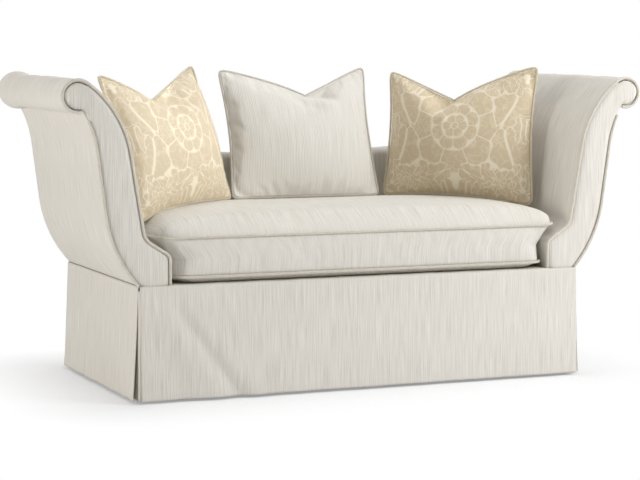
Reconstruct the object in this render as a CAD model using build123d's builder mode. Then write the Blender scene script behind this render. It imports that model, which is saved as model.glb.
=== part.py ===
"""Skirted settee with two out-swept scroll arms, a low back, one bench cushion and three loose pillows.

Millimetres. X runs along the settee, Y from front to back, Z up.
The origin is on the floor, under the middle of the settee.
"""

import os
from math import cos, radians, sin, tan

from build123d import *

os.makedirs("parts", exist_ok=True)

# Overall sizes
BASE_HALF = 695.0  # half the base's width where the arms meet the skirt
SKIRT_TOP_Z = 326.0
DECK_Z = 329.0  # top of the covered deck that the cushion lies on
FIT_GAP = 0.3  # room left between soft pieces that touch
HOLE_GAP = 0.1  # radial room of bolts and dowels in their holes

# Seat frame of hardwood rails
RAIL_THICK = 28.0
RAIL_BOTTOM_Z = 195.0
RAIL_TOP_Z = 305.0
RAIL_TO_BASE = 25.0  # from the rails' ends to the outside of the base
RAIL_HALF_X = BASE_HALF - RAIL_TO_BASE
RAIL_HALF_Y = 330.0
BORDER_THICK = 12.0  # felt on the rails, and the thickness of the panels at the back
BORDER_BOTTOM_Z = 200.0
BLOCK_LEG = 90.0
BLOCK_HIGH = 60.0
STRETCHER_X = 215.0
STRETCHER_WIDE = 25.0
STRETCHER_HIGH = 60.0

# Legs, their bolts and their glides
GLIDE_HIGH = 12.0
GLIDE_RADIUS = 14.0
GLIDE_EDGE = 2.0
GLIDE_PIN_RADIUS = 2.5
GLIDE_PIN_LONG = 15.0
LEG_TOP = 56.0
LEG_FOOT = 40.0
LEG_INSET = 6.0  # from the rails' outer faces to the leg
CENTRE_LEG_TOP = 40.0
CENTRE_LEG_FOOT = 34.0
CENTRE_LEG_INSET = 2.0
BOLT_RADIUS = 4.0
BOLT_IN_LEG = 45.0
BOLT_IN_FRAME = 50.0
BOLT_FROM_RAIL = 18.0  # from the rails' inner faces to a corner bolt

# Arm outline, seen from the front, on the +X arm
FOOT_WIDE = 93.0
FOOT_X = BASE_HALF - FOOT_WIDE  # inner side of the arm's foot
FOOT_TOP_Z = 398.0
SHOULDER_ANGLE = 57.0  # from vertical
SHOULDER_OUT_RADIUS = 22.0
SHOULDER_IN_RADIUS = 45.0
ARM_LEAN = 9.4
SWEEP_RADIUS = 300.0
SWEEP_END_ANGLE = 55.0
ROLL_OUT = 170.0  # how far the roll's middle stands out from the base
ROLL_X = BASE_HALF + ROLL_OUT
ROLL_Z = 855.0
ROLL_RADIUS = 45.0
OUTER_START_ANGLE = 43.0
OUTER_LOW_RADIUS = 362.0
OUTER_LEAN = 7.6
OUTER_STRAIGHT_TOP_Z = 700.0
OUTER_HIGH_RADIUS = 300.0
OUTER_END_ANGLE = 33.0
ARM_PAD = 14.0  # padding and cover over the arm's frame
ROLL_END_SWELL = 10.0  # the roll's padded rear end is fuller than the roll
ROLL_END_SHIFT = 8.0  # and stands this much further in
ROLL_END_LONG = 130.0
ROLL_END_EDGE = 10.0
ROLL_PARTING = ((-1.0, -1.0), (-0.5, -0.9), (0.0, -1.2))  # in roll radii, where the covers part
ROLL_WELT_ARC = 228.0  # how far the front welt runs round the roll
OUTER_WELT_END_ANGLE = 25.0

# Arm frame
POST_THICK = 22.0
POST_GAP = 0.5
WAIST_RAIL_OUT = 54.0  # from the outside of the base
WAIST_RAIL = (BASE_HALF + WAIST_RAIL_OUT, 600.0)
LOWER_RAIL_IN = 5.0
LOWER_RAIL = (BASE_HALF - LOWER_RAIL_IN, 400.0)
ARM_RAIL_THICK = 24.0
ARM_RAIL_HIGH = 46.0
DOWEL_RADIUS = 5.0
DOWEL_LONG = 60.0
DOWEL_IN = 45.0
DOWEL_X = BASE_HALF - DOWEL_IN
ARM_PANEL_THICK = 9.0
WELT_RADIUS = 4.0

# Low back, whose top edge dips between the arms
BACK_TOP_MIDDLE_Z = 653.0
BACK_TOP_END_Z = 718.0
BACK_PAD_FRONT_Y = 240.0
BACK_TOP_ROUND = 20.0
BACK_UPRIGHT_STEPS = (-3.5, -1.5, 1.5, 3.5)  # in spring spacings, so that they stand between springs
BACK_UPRIGHT_WIDE = 40.0
BACK_RAIL_LOW_Z = 560.0
BACK_RAIL_HIGH_Z = 620.0
BACK_RAIL_IN = 15.0
BACK_RAIL_HALF = BASE_HALF - BACK_RAIL_IN

# Springs and deck
SPRING_SPACING = 132.0
SPRING_END_GAP = 30.0  # least room from the arms' feet to the middle of the end springs
SPRING_COUNT = 1 + 2 * int((FOOT_X - SPRING_END_GAP) // SPRING_SPACING)
SPRING_WIRE_RADIUS = 1.8
SPRING_HALF_WIDE = 22.0
SPRING_BENDS = 36
CLIP_HIGH = 8.0
CLIP_WIDE = 14.0
CLIP_DEEP = 10.0
HESSIAN_THICK = 1.5
DECK_COVER_THICK = 2.0
DUST_COVER_THICK = 1.0

# Skirt
SKIRT_THICK = 2.7
SKIRT_FLARE = 12.3  # how far the hem stands out from the top edge
HEM_Z = 8.0
SIDE_FLAP_SETBACK = 6.0  # the end flaps stop short of the corner
PLEAT_LEG = 85.0
PLEAT_THICK = 2.0
PLEAT_TOP_Z = 265.0
PLEAT_GAP = 0.2

# Bench cushion
SEAT_FRONT_Y = -336.0
SEAT_BACK_Y = 230.0
SEAT_UNDER_DRAW = 26.0  # how far the underside draws in from the bottom welt
SEAT_WAIST_DRAW = 3.0  # how far the boxing draws in between its welts
SEAT_BOTTOM_WELT_Z = 348.0
SEAT_WAIST_Z = 398.0
SEAT_TOP_WELT_Z = 460.0
SEAT_CROWN_Z = 540.0
SEAT_END_GAP = 10.0  # from the arms' feet to the boxing
SEAT_HALF_BOTTOM = FOOT_X - SEAT_END_GAP
SEAT_WAIST_IN = 4.0
SEAT_HALF_WAIST = SEAT_HALF_BOTTOM - SEAT_WAIST_IN
SEAT_OVER_FOOT = 32.0  # how far the top reaches over the arms' feet
SEAT_HALF_TOP = FOOT_X + SEAT_OVER_FOOT
SEAT_CORNER = 60.0
# The crown's levels: share of its rise, and how far in from the top welt along and across
SEAT_CROWN_LEVELS = ((0.55, 31.7, 25.47), (0.87, 101.44, 84.9), (1.0, 253.6, 181.12))
SEAT_COVER_THICK = 3.0
ZIP_LONG = 900.0
ZIP_HIGH = 14.0
ZIP_THICK = 2.0

# Loose pillows: the end ones keep to their arms, the middle one fills the room between them
LEFT_PILLOW_IN = 203.0
RIGHT_PILLOW_IN = 209.0
MIDDLE_PILLOW_IN = 445.0
PILLOW_EAR_HIGH = 203.0  # from the pillow's centre to its upper corners
PILLOW_BOTTOM_LOW = 200.0
PILLOW_CORNER = 14.0
PILLOW_RIM = 2.0  # how far the crown's faces run on past the outline before they are trimmed
PILLOW_EDGE = 12.0
PILLOW_SIDE_DRAW = 16.0  # how far the sides draw in between the corners
PILLOW_COVER_THICK = 2.5
PILLOW_FULL = 156.0
PILLOW_CROWN_POWER = 0.7  # how squarely the fullness falls off towards the sides
PILLOW_STATIONS = (-1.0, -0.88, -0.67, -0.36, 0.0, 0.36, 0.67, 0.88, 1.0)  # in half widths
PILLOW_EDGE_ROUND = 1.0  # least crown, at the sides
PILLOW_WELT_RADIUS = 3.0


def save(part, name):
    """Labels a finished piece and writes it under its name."""
    part.label = name
    export_step(part, f"parts/{name}.step")


def upright_plane(y):
    """An upright plane that faces the front, at depth y, with X to the right and Z up."""
    return Plane.XZ.offset(-y)


def lean_line_start():
    """Where the arm's straight inner run ends and its sweep towards the roll starts."""
    reach = SWEEP_RADIUS - ROLL_RADIUS
    end = radians(SWEEP_END_ANGLE)
    lean = radians(ARM_LEAN)
    centre_x = ROLL_X + reach * cos(end)
    centre_z = ROLL_Z - reach * sin(end)
    return centre_x - SWEEP_RADIUS * cos(lean), centre_z + SWEEP_RADIUS * sin(lean)


def shoulder_run():
    """Length of the foot's sloping shoulder that brings it onto the leaning inner run."""
    slope = radians(SHOULDER_ANGLE)
    lean = radians(ARM_LEAN)
    line_x, line_z = lean_line_start()
    line_at_floor = line_x - tan(lean) * line_z
    rise = SHOULDER_OUT_RADIUS * sin(slope) + SHOULDER_IN_RADIUS * (sin(slope) - sin(lean))
    out = SHOULDER_OUT_RADIUS * (1 - cos(slope)) + SHOULDER_IN_RADIUS * (cos(lean) - cos(slope))
    short = line_at_floor + tan(lean) * (FOOT_TOP_Z + rise) - FOOT_X - out
    return short / (sin(slope) - tan(lean) * cos(slope))


def arm_inner_edge():
    """Draws the arm's inner edge from its foot to the roll, in the line context that is open."""
    foot = Line((FOOT_X, RAIL_TOP_Z), (FOOT_X, FOOT_TOP_Z))
    turn_out = JernArc(foot @ 1, foot % 1, SHOULDER_OUT_RADIUS, -SHOULDER_ANGLE)
    shoulder = Line(turn_out @ 1, turn_out @ 1 + shoulder_run() * (turn_out % 1))
    turn_up = JernArc(shoulder @ 1, shoulder % 1, SHOULDER_IN_RADIUS, SHOULDER_ANGLE - ARM_LEAN)
    lean = Line(turn_up @ 1, lean_line_start())
    return JernArc(lean @ 1, lean % 1, SWEEP_RADIUS, ARM_LEAN - SWEEP_END_ANGLE)


def arm_outer_edge(end_angle):
    """Draws the arm's outer edge from the base to a slope near the roll, in the open line context."""
    start = (sin(radians(OUTER_START_ANGLE)), cos(radians(OUTER_START_ANGLE)))
    low = JernArc((BASE_HALF, DECK_Z), start, OUTER_LOW_RADIUS, OUTER_START_ANGLE - OUTER_LEAN)
    rise = OUTER_STRAIGHT_TOP_Z - (low @ 1).Y
    straight = Line(low @ 1, low @ 1 + (rise * tan(radians(OUTER_LEAN)), rise))
    return JernArc(straight @ 1, straight % 1, OUTER_HIGH_RADIUS, OUTER_LEAN - end_angle)


def arm_outline():
    """The whole outline of the +X arm: its blade and its roll."""
    with BuildSketch() as outline:
        with BuildLine():
            inner = arm_inner_edge()
            outer = arm_outer_edge(OUTER_END_ANGLE)
            Polyline(inner @ 1, (ROLL_X, ROLL_Z), outer @ 1)
            Polyline((BASE_HALF, DECK_Z), (BASE_HALF, RAIL_TOP_Z), (FOOT_X, RAIL_TOP_Z))
        make_face()
        with Locations((ROLL_X, ROLL_Z)):
            Circle(ROLL_RADIUS)
    return outline.sketch


def inset_outline(amount):
    """The arm's outline drawn in by an amount all round."""
    with BuildSketch() as smaller:
        add(arm_outline())
        offset(amount=-amount, mode=Mode.REPLACE)
        with Locations((ROLL_X, RAIL_TOP_Z)):
            Rectangle(2 * ROLL_X, 2 * amount)
        with BuildSketch(mode=Mode.INTERSECT):
            with BuildLine():
                Polyline(
                    (FOOT_X + amount, RAIL_TOP_Z),
                    (FOOT_X + amount, ROLL_Z + ROLL_RADIUS),
                    (ROLL_X + ROLL_RADIUS, ROLL_Z + ROLL_RADIUS),
                    (ROLL_X + ROLL_RADIUS, FOOT_TOP_Z),
                    (BASE_HALF - amount, DECK_Z),
                    (BASE_HALF - amount, RAIL_TOP_Z),
                    close=True,
                )
            make_face()
    return smaller.sketch


def arm_mid_line():
    """Points up the middle of the arm's blade, from the rails to its waist."""
    return [
        (0.5 * (FOOT_X + BASE_HALF), RAIL_TOP_Z),
        (LOWER_RAIL[0] + ARM_PAD, LOWER_RAIL[1]),
        WAIST_RAIL,
    ]


def outer_half():
    """The region outboard of the arm's mid line, under its roll, that parts its two covers."""
    parting = [(ROLL_X + x * ROLL_RADIUS, ROLL_Z + z * ROLL_RADIUS) for x, z in ROLL_PARTING]
    with BuildSketch() as region:
        with BuildLine():
            Polyline(*arm_mid_line(), *parting, (ROLL_X, RAIL_TOP_Z), close=True)
        make_face()
    return region.sketch


def both_ends(right, name):
    """Writes the piece of the +X end and its mirror image of the other end."""
    save(right, f"right_{name}")
    with BuildPart() as left:
        mirror(right, about=Plane.YZ)
    save(left.part, f"left_{name}")


def corners(x, y):
    """The four corners of a rectangle about the middle of the settee."""
    return [(x, y), (-x, y), (-x, -y), (x, -y)]


# Seat frame
BLOCK_X = RAIL_HALF_X - RAIL_THICK
BLOCK_Y = RAIL_HALF_Y - RAIL_THICK
RAIL_HIGH = RAIL_TOP_Z - RAIL_BOTTOM_Z
LEG_X = RAIL_HALF_X - LEG_INSET - 0.5 * LEG_TOP
LEG_Y = RAIL_HALF_Y - LEG_INSET - 0.5 * LEG_TOP
CENTRE_LEG_Y = RAIL_HALF_Y - CENTRE_LEG_INSET - 0.5 * CENTRE_LEG_TOP
BOLT_X = BLOCK_X - BOLT_FROM_RAIL
BOLT_Y = BLOCK_Y - BOLT_FROM_RAIL
CENTRE_BOLT_Y = RAIL_HALF_Y - 0.5 * RAIL_THICK
DOWEL_Y = RAIL_HALF_Y - 0.5 * POST_THICK

for side, sign in (("front", -1), ("back", 1)):
    with BuildPart() as cross_rail:
        with Locations((0, sign * (RAIL_HALF_Y - 0.5 * RAIL_THICK), RAIL_BOTTOM_Z)):
            Box(2 * RAIL_HALF_X, RAIL_THICK, RAIL_HIGH, align=(Align.CENTER, Align.CENTER, Align.MIN))
        with Locations((0, sign * CENTRE_BOLT_Y, RAIL_BOTTOM_Z)):
            Cylinder(
                BOLT_RADIUS + HOLE_GAP,
                BOLT_IN_FRAME,
                align=(Align.CENTER, Align.CENTER, Align.MIN),
                mode=Mode.SUBTRACT,
            )
        with Locations((DOWEL_X, sign * DOWEL_Y, RAIL_TOP_Z), (-DOWEL_X, sign * DOWEL_Y, RAIL_TOP_Z)):
            Cylinder(DOWEL_RADIUS + HOLE_GAP, DOWEL_LONG, mode=Mode.SUBTRACT)
    save(cross_rail.part, f"{side}_seat_rail")

with BuildPart() as end_rails:
    with Locations(*[(s * (RAIL_HALF_X - 0.5 * RAIL_THICK), 0, RAIL_BOTTOM_Z) for s in (-1, 1)]):
        Box(RAIL_THICK, 2 * BLOCK_Y, RAIL_HIGH, align=(Align.CENTER, Align.CENTER, Align.MIN))
save(end_rails.part, "end_seat_rails")

with BuildPart() as corner_blocks:
    with BuildSketch(Plane.XY.offset(RAIL_BOTTOM_Z)):
        for sx, sy in corners(1, 1):
            with BuildLine():
                Polyline(
                    (sx * BLOCK_X, sy * BLOCK_Y),
                    (sx * (BLOCK_X - BLOCK_LEG), sy * BLOCK_Y),
                    (sx * BLOCK_X, sy * (BLOCK_Y - BLOCK_LEG)),
                    close=True,
                )
            make_face()
        with Locations(*corners(BOLT_X, BOLT_Y)):
            Circle(BOLT_RADIUS + HOLE_GAP, mode=Mode.SUBTRACT)
    extrude(amount=BLOCK_HIGH)
save(corner_blocks.part, "corner_blocks")

with BuildPart() as stretchers:
    with Locations((-STRETCHER_X, 0, RAIL_BOTTOM_Z), (STRETCHER_X, 0, RAIL_BOTTOM_Z)):
        Box(STRETCHER_WIDE, 2 * BLOCK_Y, STRETCHER_HIGH, align=(Align.CENTER, Align.CENTER, Align.MIN))
save(stretchers.part, "seat_stretchers")


def legs(places, bolts, top, foot):
    """Tapered legs from the glides to the rails, bored for their bolts and for the glides' pins."""
    with BuildPart() as made:
        for place in places:
            with BuildSketch(Plane.XY.offset(RAIL_BOTTOM_Z)):
                with Locations(place):
                    Rectangle(top, top)
            with BuildSketch(Plane.XY.offset(GLIDE_HIGH)):
                with Locations(place):
                    Rectangle(foot, foot)
            loft()
        with Locations(*[(x, y, RAIL_BOTTOM_Z) for x, y in bolts]):
            Cylinder(
                BOLT_RADIUS + HOLE_GAP,
                BOLT_IN_LEG,
                align=(Align.CENTER, Align.CENTER, Align.MAX),
                mode=Mode.SUBTRACT,
            )
        with Locations(*[(x, y, GLIDE_HIGH) for x, y in places]):
            Cylinder(
                GLIDE_PIN_RADIUS + HOLE_GAP,
                GLIDE_PIN_LONG + HOLE_GAP,
                align=(Align.CENTER, Align.CENTER, Align.MIN),
                mode=Mode.SUBTRACT,
            )
    return made.part


CORNER_LEGS = corners(LEG_X, LEG_Y)
CENTRE_LEGS = [(0, -CENTRE_LEG_Y), (0, CENTRE_LEG_Y)]
CORNER_BOLTS = corners(BOLT_X, BOLT_Y)
CENTRE_BOLTS = [(0, -CENTRE_BOLT_Y), (0, CENTRE_BOLT_Y)]
save(legs(CORNER_LEGS, CORNER_BOLTS, LEG_TOP, LEG_FOOT), "corner_legs")
save(legs(CENTRE_LEGS, CENTRE_BOLTS, CENTRE_LEG_TOP, CENTRE_LEG_FOOT), "centre_legs")

with BuildPart() as leg_bolts:
    with Locations(*[(x, y, RAIL_BOTTOM_Z - BOLT_IN_LEG) for x, y in CORNER_BOLTS + CENTRE_BOLTS]):
        Cylinder(BOLT_RADIUS, BOLT_IN_LEG + BOLT_IN_FRAME, align=(Align.CENTER, Align.CENTER, Align.MIN))
save(leg_bolts.part, "leg_bolts")

with BuildPart() as glides:
    with Locations(*[(x, y, 0) for x, y in CORNER_LEGS + CENTRE_LEGS]):
        Cylinder(GLIDE_RADIUS, GLIDE_HIGH, align=(Align.CENTER, Align.CENTER, Align.MIN))
    chamfer(glides.faces().group_by(Axis.Z)[0].edges(), GLIDE_EDGE)
    with Locations(*[(x, y, GLIDE_HIGH) for x, y in CORNER_LEGS + CENTRE_LEGS]):
        Cylinder(GLIDE_PIN_RADIUS, GLIDE_PIN_LONG, align=(Align.CENTER, Align.CENTER, Align.MIN))
save(glides.part, "leg_glides")

# Arm frames
BACK_Y = RAIL_HALF_Y + BORDER_THICK
POST_INNER_Y = RAIL_HALF_Y - POST_THICK
for end, near in (("front", -RAIL_HALF_Y), ("rear", POST_INNER_Y)):
    with BuildPart() as post:
        with BuildSketch(upright_plane(near + POST_THICK)):
            add(inset_outline(ARM_PAD + POST_GAP))
        extrude(amount=POST_THICK)
        with Locations((DOWEL_X, near + 0.5 * POST_THICK, RAIL_TOP_Z)):
            Cylinder(DOWEL_RADIUS + HOLE_GAP, DOWEL_LONG, mode=Mode.SUBTRACT)
    both_ends(post.part, f"arm_{end}_post")

with BuildPart() as roll_core:
    with BuildSketch(upright_plane(POST_INNER_Y)):
        with Locations((ROLL_X, ROLL_Z)):
            Circle(ROLL_RADIUS - ARM_PAD - POST_GAP)
    extrude(amount=2 * POST_INNER_Y)
both_ends(roll_core.part, "arm_roll_core")

with BuildPart() as arm_rails:
    with BuildSketch(upright_plane(POST_INNER_Y)):
        with Locations(WAIST_RAIL, LOWER_RAIL):
            Rectangle(ARM_RAIL_THICK, ARM_RAIL_HIGH)
    extrude(amount=2 * POST_INNER_Y)
both_ends(arm_rails.part, "arm_rails")

with BuildPart() as dowels:
    with Locations(*[(x, y, RAIL_TOP_Z) for x, y in corners(DOWEL_X, DOWEL_Y)]):
        Cylinder(DOWEL_RADIUS, DOWEL_LONG)
save(dowels.part, "arm_dowels")

# Arm covers: each has a full-length padded skin, an end panel at the front and one at the back
ROLL_END = (ROLL_X - ROLL_END_SHIFT, ROLL_Z)
with BuildPart() as inside_arm:
    with BuildSketch(upright_plane(RAIL_HALF_Y)):
        add(arm_outline())
    extrude(amount=2 * RAIL_HALF_Y)
    with BuildSketch(upright_plane(RAIL_HALF_Y - ROLL_END_LONG)):
        with Locations((ROLL_X, ROLL_Z)):
            Circle(ROLL_RADIUS)
    with BuildSketch(upright_plane(RAIL_HALF_Y)):
        with Locations(ROLL_END):
            Circle(ROLL_RADIUS + ROLL_END_SWELL)
    loft()
    with BuildSketch(upright_plane(RAIL_HALF_Y)):
        add(inset_outline(ARM_PAD))
        add(outer_half())
    extrude(amount=2 * RAIL_HALF_Y, mode=Mode.SUBTRACT)
both_ends(inside_arm.part, "inside_arm")

with BuildPart() as outside_arm:
    with BuildSketch(upright_plane(RAIL_HALF_Y)):
        add(arm_outline())
        add(inset_outline(ARM_PAD), mode=Mode.SUBTRACT)
        add(outer_half(), mode=Mode.INTERSECT)
    extrude(amount=2 * RAIL_HALF_Y)
both_ends(outside_arm.part, "outside_arm")

with BuildPart() as front_panel:
    with BuildSketch(upright_plane(-RAIL_HALF_Y)):
        add(inset_outline(WELT_RADIUS + FIT_GAP))
    extrude(amount=ARM_PANEL_THICK)
both_ends(front_panel.part, "arm_front_panel")

with BuildPart() as back_panel:
    with BuildSketch(upright_plane(BACK_Y)):
        with Locations(ROLL_END):
            Circle(ROLL_RADIUS + ROLL_END_SWELL)
    extrude(amount=BACK_Y - RAIL_HALF_Y)
    fillet(back_panel.faces().sort_by(Axis.Y)[-1].edges(), ROLL_END_EDGE)
    with BuildSketch(upright_plane(BACK_Y)):
        add(arm_outline())
    extrude(amount=BACK_Y - RAIL_HALF_Y)
both_ends(back_panel.part, "arm_back_panel")

# The welt's two runs: up the inner edge and round the roll, and up the outer edge
WELT_Y = -RAIL_HALF_Y - WELT_RADIUS - FIT_GAP
with BuildLine() as inner_run:
    rise = arm_inner_edge()
    JernArc(rise @ 1, rise % 1, ROLL_RADIUS, -ROLL_WELT_ARC)
with BuildLine() as outer_run:
    arm_outer_edge(OUTER_WELT_END_ANGLE)
with BuildPart() as front_welt:
    for run in (inner_run, outer_run):
        path = run.wire().moved(upright_plane(WELT_Y).location)
        with BuildSketch(Plane(path @ 0, z_dir=path % 0)) as cord:
            Circle(WELT_RADIUS)
        sweep(cord.sketch, path=path)
both_ends(front_welt.part, "arm_front_welt")


def back_outline(low_z):
    """The low back seen from the front, from a height up to its dipping top edge, between the arms."""
    with BuildSketch() as outline:
        with BuildLine():
            top = ThreePointArc(
                (-ROLL_X, BACK_TOP_END_Z), (0, BACK_TOP_MIDDLE_Z), (ROLL_X, BACK_TOP_END_Z)
            )
            Polyline(top @ 1, (ROLL_X, low_z), (-ROLL_X, low_z), top @ 0)
        make_face()
        with BuildSketch(mode=Mode.SUBTRACT):
            add(arm_outline())
            offset(amount=FIT_GAP, mode=Mode.REPLACE)
            with BuildLine():
                Polyline(
                    *arm_mid_line(),
                    (ROLL_X, ROLL_Z),
                    (2 * ROLL_X, ROLL_Z),
                    (2 * ROLL_X, RAIL_TOP_Z),
                    close=True,
                )
            make_face()
            mirror(about=Plane.YZ)
    return outline.sketch


# Low back frame and covers
BACK_FRAME_FRONT_Y = RAIL_HALF_Y - RAIL_THICK
with BuildPart() as back_uprights:
    with Locations(*[(n * SPRING_SPACING, CENTRE_BOLT_Y, RAIL_TOP_Z) for n in BACK_UPRIGHT_STEPS]):
        Box(
            BACK_UPRIGHT_WIDE,
            RAIL_THICK,
            BACK_RAIL_LOW_Z - RAIL_TOP_Z,
            align=(Align.CENTER, Align.CENTER, Align.MIN),
        )
save(back_uprights.part, "back_uprights")

with BuildPart() as back_top_rail:
    with Locations((0, CENTRE_BOLT_Y, BACK_RAIL_LOW_Z)):
        Box(
            2 * BACK_RAIL_HALF,
            RAIL_THICK,
            BACK_RAIL_HIGH_Z - BACK_RAIL_LOW_Z,
            align=(Align.CENTER, Align.CENTER, Align.MIN),
        )
save(back_top_rail.part, "back_top_rail")

with BuildPart() as inside_back:
    with BuildSketch(upright_plane(BACK_FRAME_FRONT_Y)):
        add(back_outline(DECK_Z + FIT_GAP))
    extrude(amount=BACK_FRAME_FRONT_Y - BACK_PAD_FRONT_Y)
    with BuildSketch(upright_plane(RAIL_HALF_Y)):
        add(back_outline(BACK_RAIL_HIGH_Z))
    extrude(amount=RAIL_THICK)
    top_front = inside_back.edges().filter_by(GeomType.CIRCLE).group_by(Axis.Y)[0]
    fillet(top_front.sort_by(SortBy.LENGTH)[-1], BACK_TOP_ROUND)
save(inside_back.part, "inside_back")

with BuildPart() as outside_back:
    with BuildSketch(upright_plane(BACK_Y)):
        add(back_outline(RAIL_TOP_Z))
    extrude(amount=BACK_Y - RAIL_HALF_Y)
save(outside_back.part, "outside_back")

# Seat springs: each is one wire bent to and fro, held on the rails by a clip at each end
SPRING_Z = RAIL_TOP_Z + 0.5 * CLIP_HIGH
CLIP_Y = RAIL_HALF_Y - 0.5 * RAIL_THICK
BEND_STEP = 2 * CLIP_Y / SPRING_BENDS
SPRING_RUN = SPRING_HALF_WIDE - 0.5 * BEND_STEP
with BuildPart() as seat_springs:
    with BuildLine(Plane.XY.offset(SPRING_Z)) as spring_path:
        side = 1
        for bend in range(SPRING_BENDS):
            y = -CLIP_Y + bend * BEND_STEP
            Line((-side * SPRING_RUN, y), (side * SPRING_RUN, y))
            ThreePointArc(
                (side * SPRING_RUN, y),
                (side * SPRING_HALF_WIDE, y + 0.5 * BEND_STEP),
                (side * SPRING_RUN, y + BEND_STEP),
            )
            side = -side
        Line((-side * SPRING_RUN, CLIP_Y), (side * SPRING_RUN, CLIP_Y))
    with BuildSketch(Plane(spring_path.wire() @ 0, z_dir=spring_path.wire() % 0)):
        Circle(SPRING_WIRE_RADIUS)
    one_spring = sweep(path=spring_path.wire(), mode=Mode.PRIVATE)
    with GridLocations(SPRING_SPACING, 1, SPRING_COUNT, 1):
        add(one_spring)
save(seat_springs.part, "seat_springs")

with BuildPart() as spring_clips:
    for y in (-CLIP_Y, CLIP_Y):
        with Locations((0, y, SPRING_Z)):
            with GridLocations(SPRING_SPACING, 1, SPRING_COUNT, 1):
                Box(CLIP_WIDE, CLIP_DEEP, CLIP_HIGH)
                Cylinder(
                    SPRING_WIRE_RADIUS + HOLE_GAP,
                    CLIP_WIDE,
                    rotation=(0, 90, 0),
                    mode=Mode.SUBTRACT,
                )
save(spring_clips.part, "spring_clips")

# Deck: hessian on the springs, a pad and its cover
DECK_HALF = FOOT_X - FIT_GAP
DECK_LIP_HALF = DECK_HALF - WELT_RADIUS
DECK_BACK_Y = BACK_FRAME_FRONT_Y - FIT_GAP
HESSIAN_Z = RAIL_TOP_Z + CLIP_HIGH
DECK_PAD_Z = HESSIAN_Z + HESSIAN_THICK
DECK_COVER_Z = DECK_Z - DECK_COVER_THICK


def slab(half_x, front_y, back_y, low_z, high_z):
    """A flat block about the middle of the settee's length, in the part context that is open."""
    with Locations((0, 0.5 * (front_y + back_y), 0.5 * (low_z + high_z))):
        Box(2 * half_x, back_y - front_y, high_z - low_z)


with BuildPart() as hessian:
    slab(DECK_HALF, -RAIL_HALF_Y, DECK_BACK_Y, HESSIAN_Z, DECK_PAD_Z)
save(hessian.part, "deck_hessian")

with BuildPart() as deck_pad:
    slab(DECK_HALF, -RAIL_HALF_Y, DECK_BACK_Y, DECK_PAD_Z, DECK_COVER_Z)
save(deck_pad.part, "deck_pad")

with BuildPart() as deck_cover:
    slab(DECK_HALF, -RAIL_HALF_Y, DECK_BACK_Y, DECK_COVER_Z, DECK_Z)
    slab(DECK_LIP_HALF, -BACK_Y, -RAIL_HALF_Y, DECK_COVER_Z, DECK_Z)
save(deck_cover.part, "deck_cover")

with BuildPart() as dust_cover:
    dust_y = RAIL_HALF_Y - FIT_GAP
    slab(RAIL_HALF_X - FIT_GAP, -dust_y, dust_y, RAIL_BOTTOM_Z - DUST_COVER_THICK, RAIL_BOTTOM_Z)
    for places, top in ((CORNER_LEGS, LEG_TOP), (CENTRE_LEGS, CENTRE_LEG_TOP)):
        with Locations(*[(x, y, RAIL_BOTTOM_Z) for x, y in places]):
            Box(top + FIT_GAP, top + FIT_GAP, 4 * DUST_COVER_THICK, mode=Mode.SUBTRACT)
save(dust_cover.part, "dust_cover")

# Borders that carry the skirt
with BuildPart() as front_border:
    slab(BASE_HALF, -BACK_Y, -RAIL_HALF_Y, BORDER_BOTTOM_Z, RAIL_TOP_Z)
    slab(DECK_LIP_HALF, -BACK_Y, -RAIL_HALF_Y, RAIL_TOP_Z, DECK_COVER_Z)
save(front_border.part, "front_border")

with BuildPart() as back_border:
    slab(BASE_HALF, RAIL_HALF_Y, BACK_Y, BORDER_BOTTOM_Z, RAIL_TOP_Z)
save(back_border.part, "back_border")

with BuildPart() as end_border:
    with Locations((0.5 * (RAIL_HALF_X + BASE_HALF), 0, 0.5 * (BORDER_BOTTOM_Z + RAIL_TOP_Z))):
        Box(BASE_HALF - RAIL_HALF_X, 2 * RAIL_HALF_Y, RAIL_TOP_Z - BORDER_BOTTOM_Z)
both_ends(end_border.part, "end_border")


# Skirt
def flap_section(inner, sign):
    """A flap's section: a thin strip that hangs from the top edge and stands out at its hem."""
    with BuildSketch() as section:
        with BuildLine():
            Polyline(
                (sign * inner, SKIRT_TOP_Z),
                (sign * (inner + SKIRT_THICK), SKIRT_TOP_Z),
                (sign * (inner + SKIRT_THICK + SKIRT_FLARE), HEM_Z),
                (sign * (inner + SKIRT_FLARE), HEM_Z),
                close=True,
            )
        make_face()
    return section.sketch


for side, sign in (("front", -1), ("back", 1)):
    with BuildPart() as flap:
        with BuildSketch(Plane.YZ):
            add(flap_section(BACK_Y + FIT_GAP, sign))
        extrude(amount=BASE_HALF, both=True)
    save(flap.part, f"{side}_skirt")

with BuildPart() as end_flap:
    with BuildSketch(Plane.XZ):
        add(flap_section(BASE_HALF + FIT_GAP, 1))
    extrude(amount=BACK_Y - SIDE_FLAP_SETBACK, both=True)
both_ends(end_flap.part, "end_skirt")

with BuildPart() as pleats:
    with BuildSketch(Plane.XY.offset(HEM_Z)):
        for sx, sy in corners(1, 1):
            inner_x = sx * (BASE_HALF + PLEAT_GAP)
            inner_y = sy * (BACK_Y + PLEAT_GAP)
            with BuildLine():
                Polyline(
                    (inner_x - sx * PLEAT_LEG, inner_y),
                    (inner_x, inner_y),
                    (inner_x, inner_y - sy * PLEAT_LEG),
                    (inner_x + sx * PLEAT_THICK, inner_y - sy * PLEAT_LEG),
                    (inner_x + sx * PLEAT_THICK, inner_y + sy * PLEAT_THICK),
                    (inner_x - sx * PLEAT_LEG, inner_y + sy * PLEAT_THICK),
                    close=True,
                )
            make_face()
    extrude(amount=PLEAT_TOP_Z - HEM_Z)
save(pleats.part, "skirt_pleats")

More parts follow.
